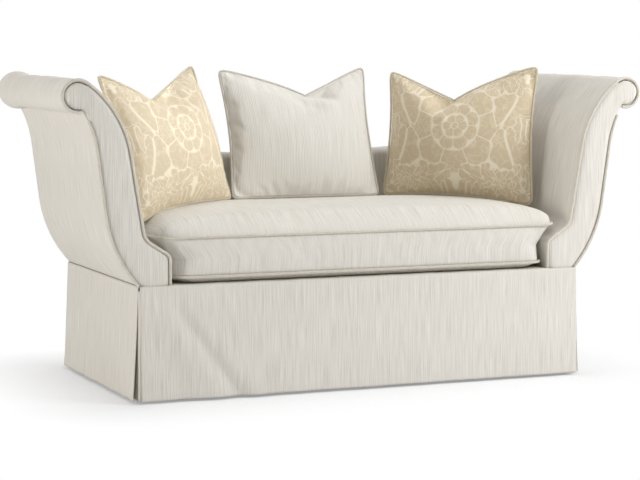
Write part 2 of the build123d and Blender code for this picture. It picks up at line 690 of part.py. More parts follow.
# Bench cushion
SEAT_MID_Y = 0.5 * (SEAT_FRONT_Y + SEAT_BACK_Y)
SEAT_HALF_Y = 0.5 * (SEAT_BACK_Y - SEAT_FRONT_Y)
SEAT_UNDER_Z = DECK_Z + FIT_GAP


def cushion_level(z, half_x, half_y, corner):
    """One rounded outline of the cushion at a height."""
    with BuildSketch(Plane.XY.offset(z)) as level:
        with Locations((0, SEAT_MID_Y)):
            RectangleRounded(2 * half_x, 2 * half_y, corner)
    return level.sketch


def cushion_form(inset):
    """The cushion's form, drawn in all round: boxing that widens over the arms' feet, and a crown."""
    rise = SEAT_CROWN_Z - SEAT_TOP_WELT_Z - inset
    under = SEAT_UNDER_DRAW + inset
    waist_y = SEAT_HALF_Y - SEAT_WAIST_DRAW - inset
    half_y = SEAT_HALF_Y - inset
    corner = SEAT_CORNER - inset
    top = cushion_level(SEAT_TOP_WELT_Z, SEAT_HALF_TOP - inset, half_y, corner)
    boxing = [
        cushion_level(SEAT_UNDER_Z + inset, SEAT_HALF_BOTTOM - under, SEAT_HALF_Y - under, corner),
        cushion_level(SEAT_BOTTOM_WELT_Z, SEAT_HALF_BOTTOM - inset, half_y, corner),
        cushion_level(SEAT_WAIST_Z, SEAT_HALF_WAIST - inset, waist_y, corner),
        top,
    ]
    crown = [top]
    for lift, in_x, in_y in SEAT_CROWN_LEVELS:
        half_x = SEAT_HALF_TOP - in_x - inset
        deep = SEAT_HALF_Y - in_y - inset
        crown.append(cushion_level(SEAT_TOP_WELT_Z + lift * rise, half_x, deep, corner))
    with BuildPart() as form:
        loft(boxing, ruled=True)
        loft(crown)
    return form.part


cushion_outside = cushion_form(0)
cushion_inside = cushion_form(SEAT_COVER_THICK)
with BuildPart() as cushion_cover:
    add(cushion_outside)
    add(cushion_inside, mode=Mode.SUBTRACT)
save(cushion_cover.part, "seat_cushion_cover")
save(cushion_form(SEAT_COVER_THICK + FIT_GAP), "seat_cushion_core")


def welt_loop(z, half_x, half_y, corner):
    """One welt round the cushion, just outside its cover, in the part context that is open."""
    out = WELT_RADIUS + FIT_GAP
    with BuildSketch(Plane.XY.offset(z)) as loop:
        with Locations((0, SEAT_MID_Y)):
            RectangleRounded(2 * (half_x + out), 2 * (half_y + out), corner + out)
    path = loop.sketch.face().outer_wire()
    with BuildSketch(Plane(path @ 0, z_dir=path % 0)) as cord:
        Circle(WELT_RADIUS)
    sweep(cord.sketch, path=path)


with BuildPart() as cushion_welts:
    welt_loop(SEAT_TOP_WELT_Z, SEAT_HALF_TOP, SEAT_HALF_Y, SEAT_CORNER)
    welt_loop(SEAT_BOTTOM_WELT_Z, SEAT_HALF_BOTTOM, SEAT_HALF_Y, SEAT_CORNER)
save(cushion_welts.part, "seat_cushion_welts")

with BuildPart() as cushion_zip:
    zip_y = SEAT_BACK_Y - SEAT_WAIST_DRAW + 2 * FIT_GAP
    zip_z = SEAT_WAIST_Z - 0.5 * ZIP_HIGH
    slab(0.5 * ZIP_LONG, zip_y, zip_y + ZIP_THICK, zip_z, zip_z + ZIP_HIGH)
save(cushion_zip.part, "seat_cushion_zip")


# Pillows
def pillow_plane(centre, yaw, lean, tilt):
    """A pillow's mid plane: turned about the vertical, leant back, then tilted in its own plane."""
    turn, back, roll = radians(yaw), radians(lean), radians(tilt)
    across = Vector(cos(turn), sin(turn), 0)
    facing = Vector(sin(turn), -cos(turn), 0)
    up = Vector(0, 0, cos(back)) - facing * sin(back)
    normal = facing * cos(back) + Vector(0, 0, sin(back))
    return Plane(centre, x_dir=across * cos(roll) + up * sin(roll), z_dir=normal)


def pillow_outline(half, chop, grow):
    """A pillow's outline: eared corners, a dip chopped into its top edge, drawn-in sides."""
    middle = 0.5 * (PILLOW_EAR_HIGH - PILLOW_BOTTOM_LOW)
    with BuildSketch() as outline:
        with BuildLine():
            left = ThreePointArc(
                (-half, -PILLOW_BOTTOM_LOW), (PILLOW_SIDE_DRAW - half, middle), (-half, PILLOW_EAR_HIGH)
            )
            right = ThreePointArc(
                (half, PILLOW_EAR_HIGH), (half - PILLOW_SIDE_DRAW, middle), (half, -PILLOW_BOTTOM_LOW)
            )
            Polyline(left @ 1, (0, PILLOW_EAR_HIGH - chop), right @ 0)
            Line(right @ 1, left @ 0)
        make_face()
        fillet(outline.vertices(), PILLOW_CORNER)
        if grow:
            offset(amount=grow, mode=Mode.REPLACE)
    return outline.sketch


def pillow_form(plane, half, chop, inset):
    """A crowned pillow on its mid plane, drawn in all round by an inset."""
    reach = half + PILLOW_RIM
    high = PILLOW_EAR_HIGH + PILLOW_RIM
    low = -PILLOW_BOTTOM_LOW - PILLOW_RIM
    edge = 0.5 * PILLOW_EDGE - inset
    with BuildPart() as form:
        for share in PILLOW_STATIONS:
            crown = 0.5 * PILLOW_FULL * (1 - share * share) ** PILLOW_CROWN_POWER - inset
            full = max(edge + PILLOW_EDGE_ROUND, crown)
            top = high - chop * (1 - abs(share))
            centre = plane.from_local_coords((share * reach, 0, 0))
            with BuildSketch(Plane(centre, x_dir=plane.y_dir, z_dir=plane.x_dir)):
                with BuildLine():
                    front = ThreePointArc((low, edge), (0.5 * (low + top), full), (top, edge))
                    back = ThreePointArc((top, -edge), (0.5 * (low + top), -full), (low, -edge))
                    Line(front @ 1, back @ 0)
                    Line(back @ 1, front @ 0)
                make_face()
        loft()
        with BuildSketch(plane):
            add(pillow_outline(half, chop, -inset))
        extrude(amount=PILLOW_FULL, both=True, mode=Mode.INTERSECT)
    return form.part


def pillow_welt(plane, half, chop):
    """The cord round a pillow's edge, just outside its cover."""
    with BuildPart() as welt:
        with BuildSketch(plane) as outline:
            add(pillow_outline(half, chop, PILLOW_WELT_RADIUS + FIT_GAP))
        path = outline.sketch.face().outer_wire()
        with BuildSketch(Plane(path @ 0, z_dir=path % 0)) as cord:
            Circle(PILLOW_WELT_RADIUS)
        sweep(cord.sketch, path=path)
    return welt.part


# Each pillow: its mid plane, half its width, and the depth of the dip in its top edge
PILLOWS = {
    "left_pillow": (pillow_plane((LEFT_PILLOW_IN - BASE_HALF, 8.0, 732.7), 36.0, 19.0, 4.0), 248.0, 74.0),
    "middle_pillow": (pillow_plane((8.0, 190.5, 734.3), 1.0, 16.0, 1.0), BASE_HALF - MIDDLE_PILLOW_IN, 64.0),
    "right_pillow": (pillow_plane((BASE_HALF - RIGHT_PILLOW_IN, 24.0, 737.6), -41.0, 9.0, 0.0), 240.0, 84.0),
}
for name, (plane, half, chop) in PILLOWS.items():
    outside = pillow_form(plane, half, chop, 0)
    inside = pillow_form(plane, half, chop, PILLOW_COVER_THICK)
    with BuildPart() as pillow_cover:
        add(outside)
        add(inside, mode=Mode.SUBTRACT)
    save(pillow_cover.part, f"{name}_cover")
    save(pillow_form(plane, half, chop, PILLOW_COVER_THICK + FIT_GAP), f"{name}_insert")
    save(pillow_welt(plane, half, chop), f"{name}_welt")
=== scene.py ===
"""Dresses the settee: ivory ribbed covers, skirt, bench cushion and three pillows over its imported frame."""

from math import atan2, ceil, cos, pi, radians, sin

import bpy
import numpy as np
from mathutils import Matrix, Vector


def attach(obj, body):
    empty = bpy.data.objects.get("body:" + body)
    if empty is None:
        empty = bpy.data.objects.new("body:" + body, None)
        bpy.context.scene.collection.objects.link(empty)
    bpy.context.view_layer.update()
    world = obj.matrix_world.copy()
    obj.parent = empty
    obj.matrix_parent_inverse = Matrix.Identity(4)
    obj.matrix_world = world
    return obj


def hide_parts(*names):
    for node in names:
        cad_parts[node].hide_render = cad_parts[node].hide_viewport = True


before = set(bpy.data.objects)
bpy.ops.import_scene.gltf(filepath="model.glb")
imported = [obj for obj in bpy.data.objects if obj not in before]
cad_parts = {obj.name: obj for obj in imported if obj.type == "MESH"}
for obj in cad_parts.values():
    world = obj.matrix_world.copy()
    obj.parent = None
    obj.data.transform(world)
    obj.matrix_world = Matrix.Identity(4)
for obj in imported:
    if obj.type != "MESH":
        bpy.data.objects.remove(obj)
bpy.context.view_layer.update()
scene = bpy.context.scene
MM = 0.001

# Camera, fitted to the photograph's perspective: metres and degrees
CAMERA_PLACE = (-2.48078, -5.66274, 1.02588)
CAMERA_TURN = -23.64
CAMERA_DROP = 5.76
CAMERA_ROLL = 0.35
CAMERA_LENS = 114.64
CAMERA_SENSOR = 36.0

# Arm outline of the +X end, seen from the front: millimetres, and degrees out from the vertical
FOOT_X = 602.0
FOOT_LOW_Z = 306.0
FOOT_RISE = 92.0
SHOULDER_TURN = 57.0
SHOULDER_OUT_RADIUS = 22.0
SHOULDER_RUN = 56.49
SHOULDER_IN_RADIUS = 45.0
ARM_LEAN = 9.4
LEAN_RUN = 220.47
SWEEP_RADIUS = 300.0
SWEEP_END = 55.0
ROLL_X = 865.0
ROLL_Z = 855.0
ROLL_RADIUS = 45.0
ROLL_TURN = 233.0
ROLL_WELT_TURN = 228.0
BASE_HALF = 695.0
BASE_LOW_Z = 306.0
DECK_Z = 329.0
OUTER_START = 43.0
OUTER_LOW_RADIUS = 362.0
OUTER_LEAN = 7.6
OUTER_RUN = 173.52
OUTER_HIGH_RADIUS = 300.0
OUTER_END = 33.0
OUTER_WELT_END = 25.0

# Arm depth, and the roll's fuller rear end
ARM_HALF_DEEP = 330.0
ROLL_END_X = 857.0
ROLL_END_RADIUS = 55.0
ROLL_END_LONG = 130.0
ROLL_SWELL_START = 22.0
ROLL_SWELL_TURN = 34.0

# Arm covers and their welt
ARM_ROWS = 67
PANEL_RUNGS = 96
PANEL_ROLL_RUNGS = 19
PANEL_COLUMNS = 21
PANEL_INSET = 4.3
PANEL_FRONT_Y = -331.0
PANEL_FRONT_CROWN = 8.0
PANEL_BACK_Y = 330.3
PANEL_BACK_CROWN = 11.5
PANEL_FULL_WIDTH = 55.0
PANEL_CLOTH = 2.5
INSIDE_PAD_START = 190.0
INSIDE_PAD_RISE = 90.0
INSIDE_PUFF = 3.5
INSIDE_LUMPS = 0.8
INSIDE_WELT_TUCK = 1.2
INSIDE_CLOTH = 6.0
OUTSIDE_PUFF = 2.5
OUTSIDE_LUMPS = 0.9
OUTSIDE_CLOTH = 5.0
ARM_FRONT_WELT_Y = -334.3
WELT_RADIUS = 4.0
WELT_SIDES = 12
WELT_UNEVENNESS = 0.10

# Low back: its padded face, its dipping and rounded top edge, and the route of the cloth behind that edge
BACK_COLUMNS = 141
BACK_FRONT_Y = 240.0
BACK_PAD_Y = 243.0
BACK_PUFF = 2.6
BACK_PUFF_HIGH = 330.0
BACK_TOP_Z = 653.0
BACK_TOP_BEND = 5788.0
BACK_ROUND = 20.0
BACK_ARM_GAP = 0.6
BACK_OVER_TOP = ((272, -0.6), (286, -1.0), (300, -1.0), (314, -0.6), (324, 0.0), (329.4, 1.5), (329.6, 12.0))
BACK_INSIDE_CLOTH = 5.0
BACK_EDGE_Y = 334.0
BACK_EDGE_RISE = 7.0
BACK_OUT_Y = 342.0
BACK_OUTSIDE_CLOTH = 3.0

# Skirt: its flaps, its hem and the pleats behind its split corners
SKIRT_TOP_Z = 328.4
HEM_Z = 8.0
HEM_DEEP = 26.0
SKIRT_ROWS = 56
SKIRT_SPACING = 5.0
SKIRT_SEAT_GAP = 0.3
SKIRT_OUT = 2.7
SKIRT_FLARE = 12.3
SKIRT_WAVE = 2.4
SKIRT_EDGE_CURL = 3.0
SKIRT_TOP_TUCK = 2.0
SKIRT_CLOTH = 2.0
SKIRT_END_HALF = 336.0
PLEAT_LEG = 85.0
PLEAT_TOP_Z = 316.0
PLEAT_OUT = 2.2
PLEAT_CORNER = 1.5
PLEAT_ROWS = 30
PLEAT_COLUMNS = 41
PLEAT_CLOTH = 1.6

# Folds of the skirt: top and low point along and up the flap, width, and how far it stands out
FRONT_FOLDS = (
    ((-665.0, 318.0), (-470.0, 6.0), 30.0, 8.0),
    ((-630.0, 322.0), (-395.0, 4.0), 20.0, -7.5),
    ((-590.0, 320.0), (-345.0, 4.0), 26.0, 7.0),
    ((-692.0, 250.0), (-565.0, 6.0), 26.0, -4.5),
    ((-300.0, 150.0), (-215.0, 4.0), 30.0, 2.4),
    ((560.0, 300.0), (610.0, 6.0), 30.0, 2.6),
)
END_FOLDS = (
    ((-150.0, 240.0), (-60.0, 6.0), 34.0, 2.2),
    ((180.0, 230.0), (240.0, 6.0), 30.0, 2.0),
)

# Deck cloth, narrower in front of the arms' feet
DECK_FRONT_ROWS = np.linspace(-341.6, -331.0, 4)
DECK_MAIN_ROWS = np.linspace(-329.0, 301.0, 64)
DECK_COLUMNS = 121
DECK_FEET_Y = -330.0
DECK_HALF_FRONT = 597.4
DECK_HALF = 601.4
DECK_TOP_Z = 328.7
DECK_DIP = 0.7
SPRING_SPACING = 132.0
DECK_CLOTH = 1.5

# Under cloth, its cut-outs round the legs (place and half width), and its staples
UNDER_HALF_X = 669.5
UNDER_HALF_Y = 329.5
UNDER_Z = 194.6
UNDER_SAG = 4.0
UNDER_CLOTH = 0.6
CORNER_LEG_CUTS = [(sx * 636.0, sy * 296.0, 28.2) for sx in (-1, 1) for sy in (-1, 1)]
LEG_CUTS = CORNER_LEG_CUTS + [(0, 308.0, 20.2), (0, -308.0, 20.2)]
STAPLE_Z = 194.0
STAPLE_LONG_Y = 322
STAPLE_LONG_RUN = (40, 590)
STAPLE_END_X = 662
STAPLE_END_HALF = 250
STAPLE_SPACING = 0.045
STAPLE_SIZE = (0.010, 0.0012, 0.0012)

# Bench cushion
CUSHION_COLUMNS = 118
CUSHION_ROWS = 54
CUSHION_MID_Y = -53.0
CUSHION_HALF_DEEP = 283.0
CUSHION_CORNER = 60.0
CUSHION_UNDER_Z = 329.4
CUSHION_LOW_WELT_Z = 348.0
CUSHION_WAIST_Z = 398.0
CUSHION_TOP_WELT_Z = 460.0
CUSHION_CROWN = 80.0
CUSHION_UNFILLED = 0.93
CUSHION_HALF_UNDER = 566.0
CUSHION_HALF_LOW = 592.0
CUSHION_HALF_WAIST = 588.0
CUSHION_HALF_TOP = 634.0
BOXING_RINGS = 14
BOXING_STEP = 7.75
BOXING_DRAW = 3.0
UNDER_DROPS = (4.5, 11.5)
UNDER_TUCK = 26.0
ZIP_Y = 229.0
ZIP_HALF = 450.0
ZIP_TAPE_HALF = 7.0
ZIP_COLUMNS = 91
ZIP_ROWS = 7
ZIP_TEETH = 300
ZIP_PITCH = 3.0
ZIP_TOOTH_OUT = 0.7
ZIP_TOOTH_UP = 1.0
ZIP_STAGGER = (0.0015, 0, -0.002)
ZIP_TOOTH = (0.0017, 0.0014, 0.0030)

# Filling by simulation: how the sewn covers behave, and for how long they are filled
FILL_FRAMES = 20
COVER_CLOTH = {
    "quality": 6,
    "mass": 0.3,
    "tension_stiffness": 18,
    "compression_stiffness": 18,
    "shear_stiffness": 6,
    "bending_stiffness": 0.4,
    "use_pressure": True,
}

# Pillows: centre, yaw, lean, tilt, half width, depth of the dip in the top edge
PILLOWS = {
    "left": ((-492.0, 8.0, 732.7), 36.0, 19.0, 4.0, 248.0, 74.0),
    "middle": ((8.0, 190.5, 734.3), 1.0, 16.0, 1.0, 250.0, 64.0),
    "right": ((486.0, 24.0, 737.6), -41.0, 9.0, 0.0, 240.0, 84.0),
}
# The chop in each top edge: its place along, how far it goes below the dip, the drop of the left and the
# right ear, which side rolls over it (1 left, -1 right), and the heading and length of its fold
PILLOW_CHOPS = {
    "left": (-34.0, 32.0, (0.0, 10.0), 1, -15.0, 210.0),
    "middle": (28.0, 42.0, (9.0, 9.0), 1, -14.0, 110.0),
    "right": (-16.0, 40.0, (25.0, 6.0), -1, 226.0, 95.0),
}
CHOP_FOLD = 44.0
CHOP_LIP = 6.0
CHOP_FADE = 65.0
CHOP_ROLL = 9.0
CHOP_ROLL_OFF = 24.0
CHOP_ROLL_WIDE = 16.0
CHOP_LEAD_IN = 30.0
PILLOW_COLUMNS = 58
PILLOW_ROWS = 48
PILLOW_EAR_HIGH = 203.0
PILLOW_LOW = 200.0
PILLOW_SIDE_DRAW = 16.0
PILLOW_CORNER_IN = 8.0
PILLOW_CORNER_DOWN = 9.0
PILLOW_FULL = 156.0
PILLOW_EDGE = 12.0
PILLOW_CROWN_POWER = 0.7
PILLOW_KNIFE = 16.0
PILLOW_EAR_REACH = 60.0
PILLOW_WELT_RADIUS = 3.0
PILLOW_GAP_LIMIT = 36
PILLOW_GAP_WINDOW = 13
PILLOW_SETTLE_Y = -40.0
PILLOW_SETTLE_HIGH = 155.0
PILLOW_FLAT_Y = -60.0
PILLOW_REST_GAP = 0.9


# Camera
def place_camera():
    """Puts the camera where the photograph was taken from."""
    turn, drop, roll = radians(CAMERA_TURN), radians(CAMERA_DROP), radians(CAMERA_ROLL)
    ahead = Vector((-sin(turn) * cos(drop), cos(turn) * cos(drop), -sin(drop)))
    across = Vector((cos(turn), sin(turn), 0))
    above = across.cross(ahead)
    rolled = across * cos(roll) + above * sin(roll)
    upright = above * cos(roll) - across * sin(roll)
    lens = bpy.data.cameras.new("photo_camera")
    lens.lens = CAMERA_LENS
    lens.sensor_width = CAMERA_SENSOR
    lens.sensor_fit = "HORIZONTAL"
    camera = bpy.data.objects.new("photo_camera", lens)
    turned = Matrix((rolled, upright, -ahead)).transposed().to_4x4()
    camera.matrix_world = Matrix.Translation(CAMERA_PLACE) @ turned
    scene.collection.objects.link(camera)
    scene.camera = camera


# Material building
def put(tree, kind, inputs=None, **settings):
    """Adds a node, with its settings, and links or sets its inputs."""
    node = tree.nodes.new(kind)
    for key, value in settings.items():
        setattr(node, key, value)
    for key, value in (inputs or {}).items():
        if isinstance(value, bpy.types.NodeSocket):
            tree.links.new(value, node.inputs[key])
        else:
            node.inputs[key].default_value = value
    return node


def calc(tree, operation, *values, clamp=False):
    """A sum on one to three values or sockets."""
    inputs = dict(enumerate(values))
    return put(tree, "ShaderNodeMath", inputs, operation=operation, use_clamp=clamp).outputs[0]


def waves(tree, place, pitch):
    """A sine along a place, one wave to each pitch."""
    return calc(tree, "SINE", calc(tree, "MULTIPLY", place, 2 * pi / pitch))


def axes(tree, vector):
    """A vector's X, Y and Z."""
    return put(tree, "ShaderNodeSeparateXYZ", {"Vector": vector}).outputs


def ramp(tree, factor, *stops):
    """Colours along a factor."""
    node = put(tree, "ShaderNodeValToRGB", {"Fac": factor})
    colours = node.color_ramp.elements
    while len(colours) < len(stops):
        colours.new(0.5)
    for element, (place, colour) in zip(colours, stops):
        element.position = place
        element.color = (*colour, 1)
    return node.outputs["Color"]


def noise(tree, vector, scale, detail=2.0, rough=0.5):
    """Noise on a vector."""
    inputs = {"Vector": vector, "Scale": scale, "Detail": detail, "Roughness": rough}
    return put(tree, "ShaderNodeTexNoise", inputs).outputs["Fac"]


def stretched(tree, vector, scale):
    """A vector scaled by axis."""
    return put(tree, "ShaderNodeMapping", {"Vector": vector, "Scale": scale}).outputs["Vector"]


def bump(tree, height, distance, strength=1.0):
    """A surface normal from a height."""
    inputs = {"Height": height, "Distance": distance, "Strength": strength}
    return put(tree, "ShaderNodeBump", inputs).outputs["Normal"]


def new_finish(name, **sockets):
    """A material with its shader's constant sockets set."""
    material = bpy.data.materials.new(name)
    material.use_nodes = True
    shader = material.node_tree.nodes["Principled BSDF"]
    for key, value in sockets.items():
        shader.inputs[key.replace("_", " ").title().replace("Ior", "IOR")].default_value = value
    return material, material.node_tree, shader


def wire(tree, shader, **sockets):
    """Links sockets to the shader."""
    for key, value in sockets.items():
        tree.links.new(value, shader.inputs[key.replace("_", " ").title()])


def cloth_place(tree):
    """The piece's own cloth map, in metres: across the warp, and along it."""
    return put(tree, "ShaderNodeUVMap", uv_map="cloth").outputs["UV"]


def object_place(tree):
    """Object coordinates."""
    return put(tree, "ShaderNodeTexCoord").outputs["Object"]


# Threads of the cloths, in metres from one to the next
RIB_PITCH = 0.0048
WEFT_PITCH = 0.0017
WELT_THREAD = 0.0030
TWILL_ACROSS = 0.0016
TWILL_ALONG = 0.0023


def ivory_rib(name, deep, mid, pale, sheen):
    """Ribbed ivory cloth: uneven warp threads in long streaks, a fine rib and a finer weft."""
    material, tree, shader = new_finish(name, roughness=0.82, sheen_weight=sheen, sheen_roughness=0.5,
                                        specular_ior_level=0.25)
    place = cloth_place(tree)
    broad = noise(tree, stretched(tree, place, (330, 9.0, 1)), 1.0, 0.0)
    thread = noise(tree, stretched(tree, place, (760, 16.0, 1)), 1.0, 1.0, 0.7)
    slub = noise(tree, stretched(tree, place, (1500, 90, 1)), 1.0, 2.0)
    wear = noise(tree, place, 5.0, 3.0)
    parts = axes(tree, place)
    rib = waves(tree, parts["X"], RIB_PITCH)
    streak = calc(tree, "MULTIPLY_ADD", broad, 0.46, calc(tree, "MULTIPLY", thread, 0.36))
    streak = calc(tree, "ADD", streak, calc(tree, "MULTIPLY", slub, 0.18))
    streak = calc(tree, "MULTIPLY_ADD", rib, 0.035, streak)
    tone = calc(tree, "ADD", streak, calc(tree, "MULTIPLY_ADD", wear, 0.10, -0.05))
    wire(tree, shader, base_color=ramp(tree, tone, (0.28, deep), (0.50, mid), (0.70, pale)))
    weft = waves(tree, parts["Y"], WEFT_PITCH)
    height = calc(tree, "MULTIPLY_ADD", rib, 0.45, calc(tree, "MULTIPLY", weft, 0.22))
    height = calc(tree, "ADD", height, calc(tree, "MULTIPLY", thread, 1.2))
    wire(tree, shader, normal=bump(tree, height, 0.0005, 0.6))
    return material


def welt_cloth(name, deep, pale):
    """Cloth cut on the cross and sewn round a cord: slanting threads and a faint pull along the seam."""
    material, tree, shader = new_finish(name, roughness=0.8, sheen_weight=0.2, specular_ior_level=0.25)
    place = cloth_place(tree)
    parts = axes(tree, place)
    slant = calc(tree, "ADD", calc(tree, "MULTIPLY", parts["X"], 2 * pi / WELT_THREAD),
                 calc(tree, "MULTIPLY", parts["Y"], 4 * pi))
    thread = calc(tree, "SINE", slant)
    pull = noise(tree, stretched(tree, place, (60, 3, 1)), 1.0, 3.0)
    tone = calc(tree, "MULTIPLY_ADD", thread, 0.10, 0.15)
    tone = calc(tree, "ADD", tone, calc(tree, "MULTIPLY", pull, 0.7))
    wire(tree, shader, base_color=ramp(tree, tone, (0.25, deep), (0.75, pale)))
    height = calc(tree, "ADD", thread, calc(tree, "MULTIPLY", pull, 3.0))
    wire(tree, shader, normal=bump(tree, height, 0.0004, 0.7))
    return material


# Damask, in metres: a flower of petal rings with leaves about it, in two sizes, in a half-drop repeat
DAMASK_WIDE = 0.42
DAMASK_HIGH = 0.52
DAMASK_SMALL = 0.66
DAMASK_LINE = 0.085
DAMASK_STEEP = 24.0
FLOWER_MIDDLE = 0.009
# Rings of petals: turn, count, radius between petals, reach of a petal, inner radius, gap between petals
FLOWER_RINGS = (
    (0.0, 8, 0.112, 0.026, 0.077, 0.006),
    (0.39, 8, 0.058, 0.016, 0.042, 0.004),
    (0.0, 6, 0.027, 0.010, 0.012, 0.0025),
)
# Leaves of one side, mirrored to the other: middle across and along, turn, half length, half width
DAMASK_LEAVES = (
    (0.172, 0.062, 68.0, 0.100, 0.052),
    (0.168, -0.072, -72.0, 0.098, 0.054),
    (0.092, 0.168, 128.0, 0.094, 0.048),
    (0.088, -0.176, -128.0, 0.092, 0.048),
    (0.030, 0.196, 100.0, 0.066, 0.030),
    (0.150, 0.186, 40.0, 0.066, 0.036),
    (0.152, -0.180, -46.0, 0.062, 0.034),
    (0.028, -0.200, -98.0, 0.060, 0.028),
    (0.062, -0.146, -24.0, 0.070, 0.030),
    (0.062, 0.150, 24.0, 0.062, 0.026),
    (0.204, -0.006, 90.0, 0.060, 0.026),
)


def number_group(name, inputs, output):
    """A shader group that works on plain numbers: its tree, and the sockets of what it is given."""
    tree = bpy.data.node_groups.new(name, "ShaderNodeTree")
    for label in inputs:
        tree.interface.new_socket(label, in_out="INPUT", socket_type="NodeSocketFloat")
    tree.interface.new_socket(output, in_out="OUTPUT", socket_type="NodeSocketFloat")
    return tree, tree.nodes.new("NodeGroupInput").outputs


def leaf_group():
    """One leaf of the damask: a lobed, pointed leaf with a bare vein, above zero inside it."""
    labels = ("Across", "Along", "Middle Across", "Middle Along", "Angle", "Long", "Wide")
    tree, given = number_group("damask_leaf", labels, "Leaf")
    dx = calc(tree, "SUBTRACT", given["Across"], given["Middle Across"])
    dy = calc(tree, "SUBTRACT", given["Along"], given["Middle Along"])
    c = calc(tree, "COSINE", given["Angle"])
    s = calc(tree, "SINE", given["Angle"])
    along = calc(tree, "ADD", calc(tree, "MULTIPLY", dx, c), calc(tree, "MULTIPLY", dy, s))
    over = calc(tree, "SUBTRACT", calc(tree, "MULTIPLY", dy, c), calc(tree, "MULTIPLY", dx, s))
    u = calc(tree, "DIVIDE", along, given["Long"])
    bow = calc(tree, "MULTIPLY", calc(tree, "MULTIPLY", u, u), 0.35)
    v = calc(tree, "ABSOLUTE", calc(tree, "SUBTRACT", calc(tree, "DIVIDE", over, given["Wide"]), bow))
    body = calc(tree, "SUBTRACT", calc(tree, "SUBTRACT", 1.0, calc(tree, "MULTIPLY", u, u)), v)
    lobed = calc(tree, "MULTIPLY_ADD", calc(tree, "COSINE", calc(tree, "MULTIPLY", u, 11.0)), 0.14, body)
    vein = calc(tree, "MULTIPLY", calc(tree, "SUBTRACT", v, 0.075), 3.0)
    short = calc(tree, "MULTIPLY", calc(tree, "SUBTRACT", u, 0.55), 4.0)
    leaf = calc(tree, "MINIMUM", lobed, calc(tree, "MAXIMUM", vein, short))
    put(tree, "NodeGroupOutput", {"Leaf": leaf})
    return tree


def petals(tree, far, angle, count, radius, lobe, inner, gap):
    """A ring of rounded petals round the flower's middle, above zero inside them."""
    swing = calc(tree, "ABSOLUTE", calc(tree, "COSINE", calc(tree, "MULTIPLY", angle, 0.5 * count)))
    edge = calc(tree, "MULTIPLY_ADD", calc(tree, "POWER", swing, 0.6), lobe, radius)
    outside = calc(tree, "SUBTRACT", edge, far)
    inside = calc(tree, "SUBTRACT", far, inner)
    split = calc(tree, "SUBTRACT", calc(tree, "MULTIPLY", swing, far), gap)
    ring = calc(tree, "MINIMUM", calc(tree, "MINIMUM", outside, inside), split)
    return calc(tree, "MULTIPLY", ring, DAMASK_STEEP)


def beside(tree, one, other):
    """Two figures side by side, parted by a thin line of ground where they meet."""
    apart = calc(tree, "ABSOLUTE", calc(tree, "SUBTRACT", one, other))
    meeting = calc(tree, "SUBTRACT", apart, DAMASK_LINE)
    return calc(tree, "MINIMUM", calc(tree, "MAXIMUM", one, other), meeting)


def flower_group(leaf):
    """A round flower of rings of petals with leaves about it, above zero inside them."""
    tree, given = number_group("damask_flower", ("Across", "Along"), "Flower")
    across = calc(tree, "ABSOLUTE", given["Across"])
    along = given["Along"]
    squares = calc(tree, "ADD", calc(tree, "MULTIPLY", across, across), calc(tree, "MULTIPLY", along, along))
    far = calc(tree, "SQRT", squares)
    angle = calc(tree, "ARCTAN2", along, across)
    shape = calc(tree, "MULTIPLY", calc(tree, "SUBTRACT", FLOWER_MIDDLE, far), DAMASK_STEEP)
    for turn, count, radius, lobe, inner, gap in FLOWER_RINGS:
        ring = petals(tree, far, calc(tree, "ADD", angle, turn), count, radius, lobe, inner, gap)
        shape = calc(tree, "MAXIMUM", shape, ring)
    for middle_across, middle_along, turn, long, wide in DAMASK_LEAVES:
        inputs = {
            "Across": across, "Along": along, "Middle Across": middle_across, "Middle Along": middle_along,
            "Angle": radians(turn), "Long": long, "Wide": wide,
        }
        one = put(tree, "ShaderNodeGroup", inputs, node_tree=leaf)
        shape = beside(tree, shape, one.outputs["Leaf"])
    put(tree, "NodeGroupOutput", {"Flower": shape})
    return tree


def in_repeat(tree, place, length, drop):
    """A place within its repeat, from half a repeat before the middle to half a repeat after it."""
    moved = calc(tree, "ADD", place, (drop + 0.5) * length)
    return calc(tree, "SUBTRACT", calc(tree, "FLOORED_MODULO", moved, length), 0.5 * length)


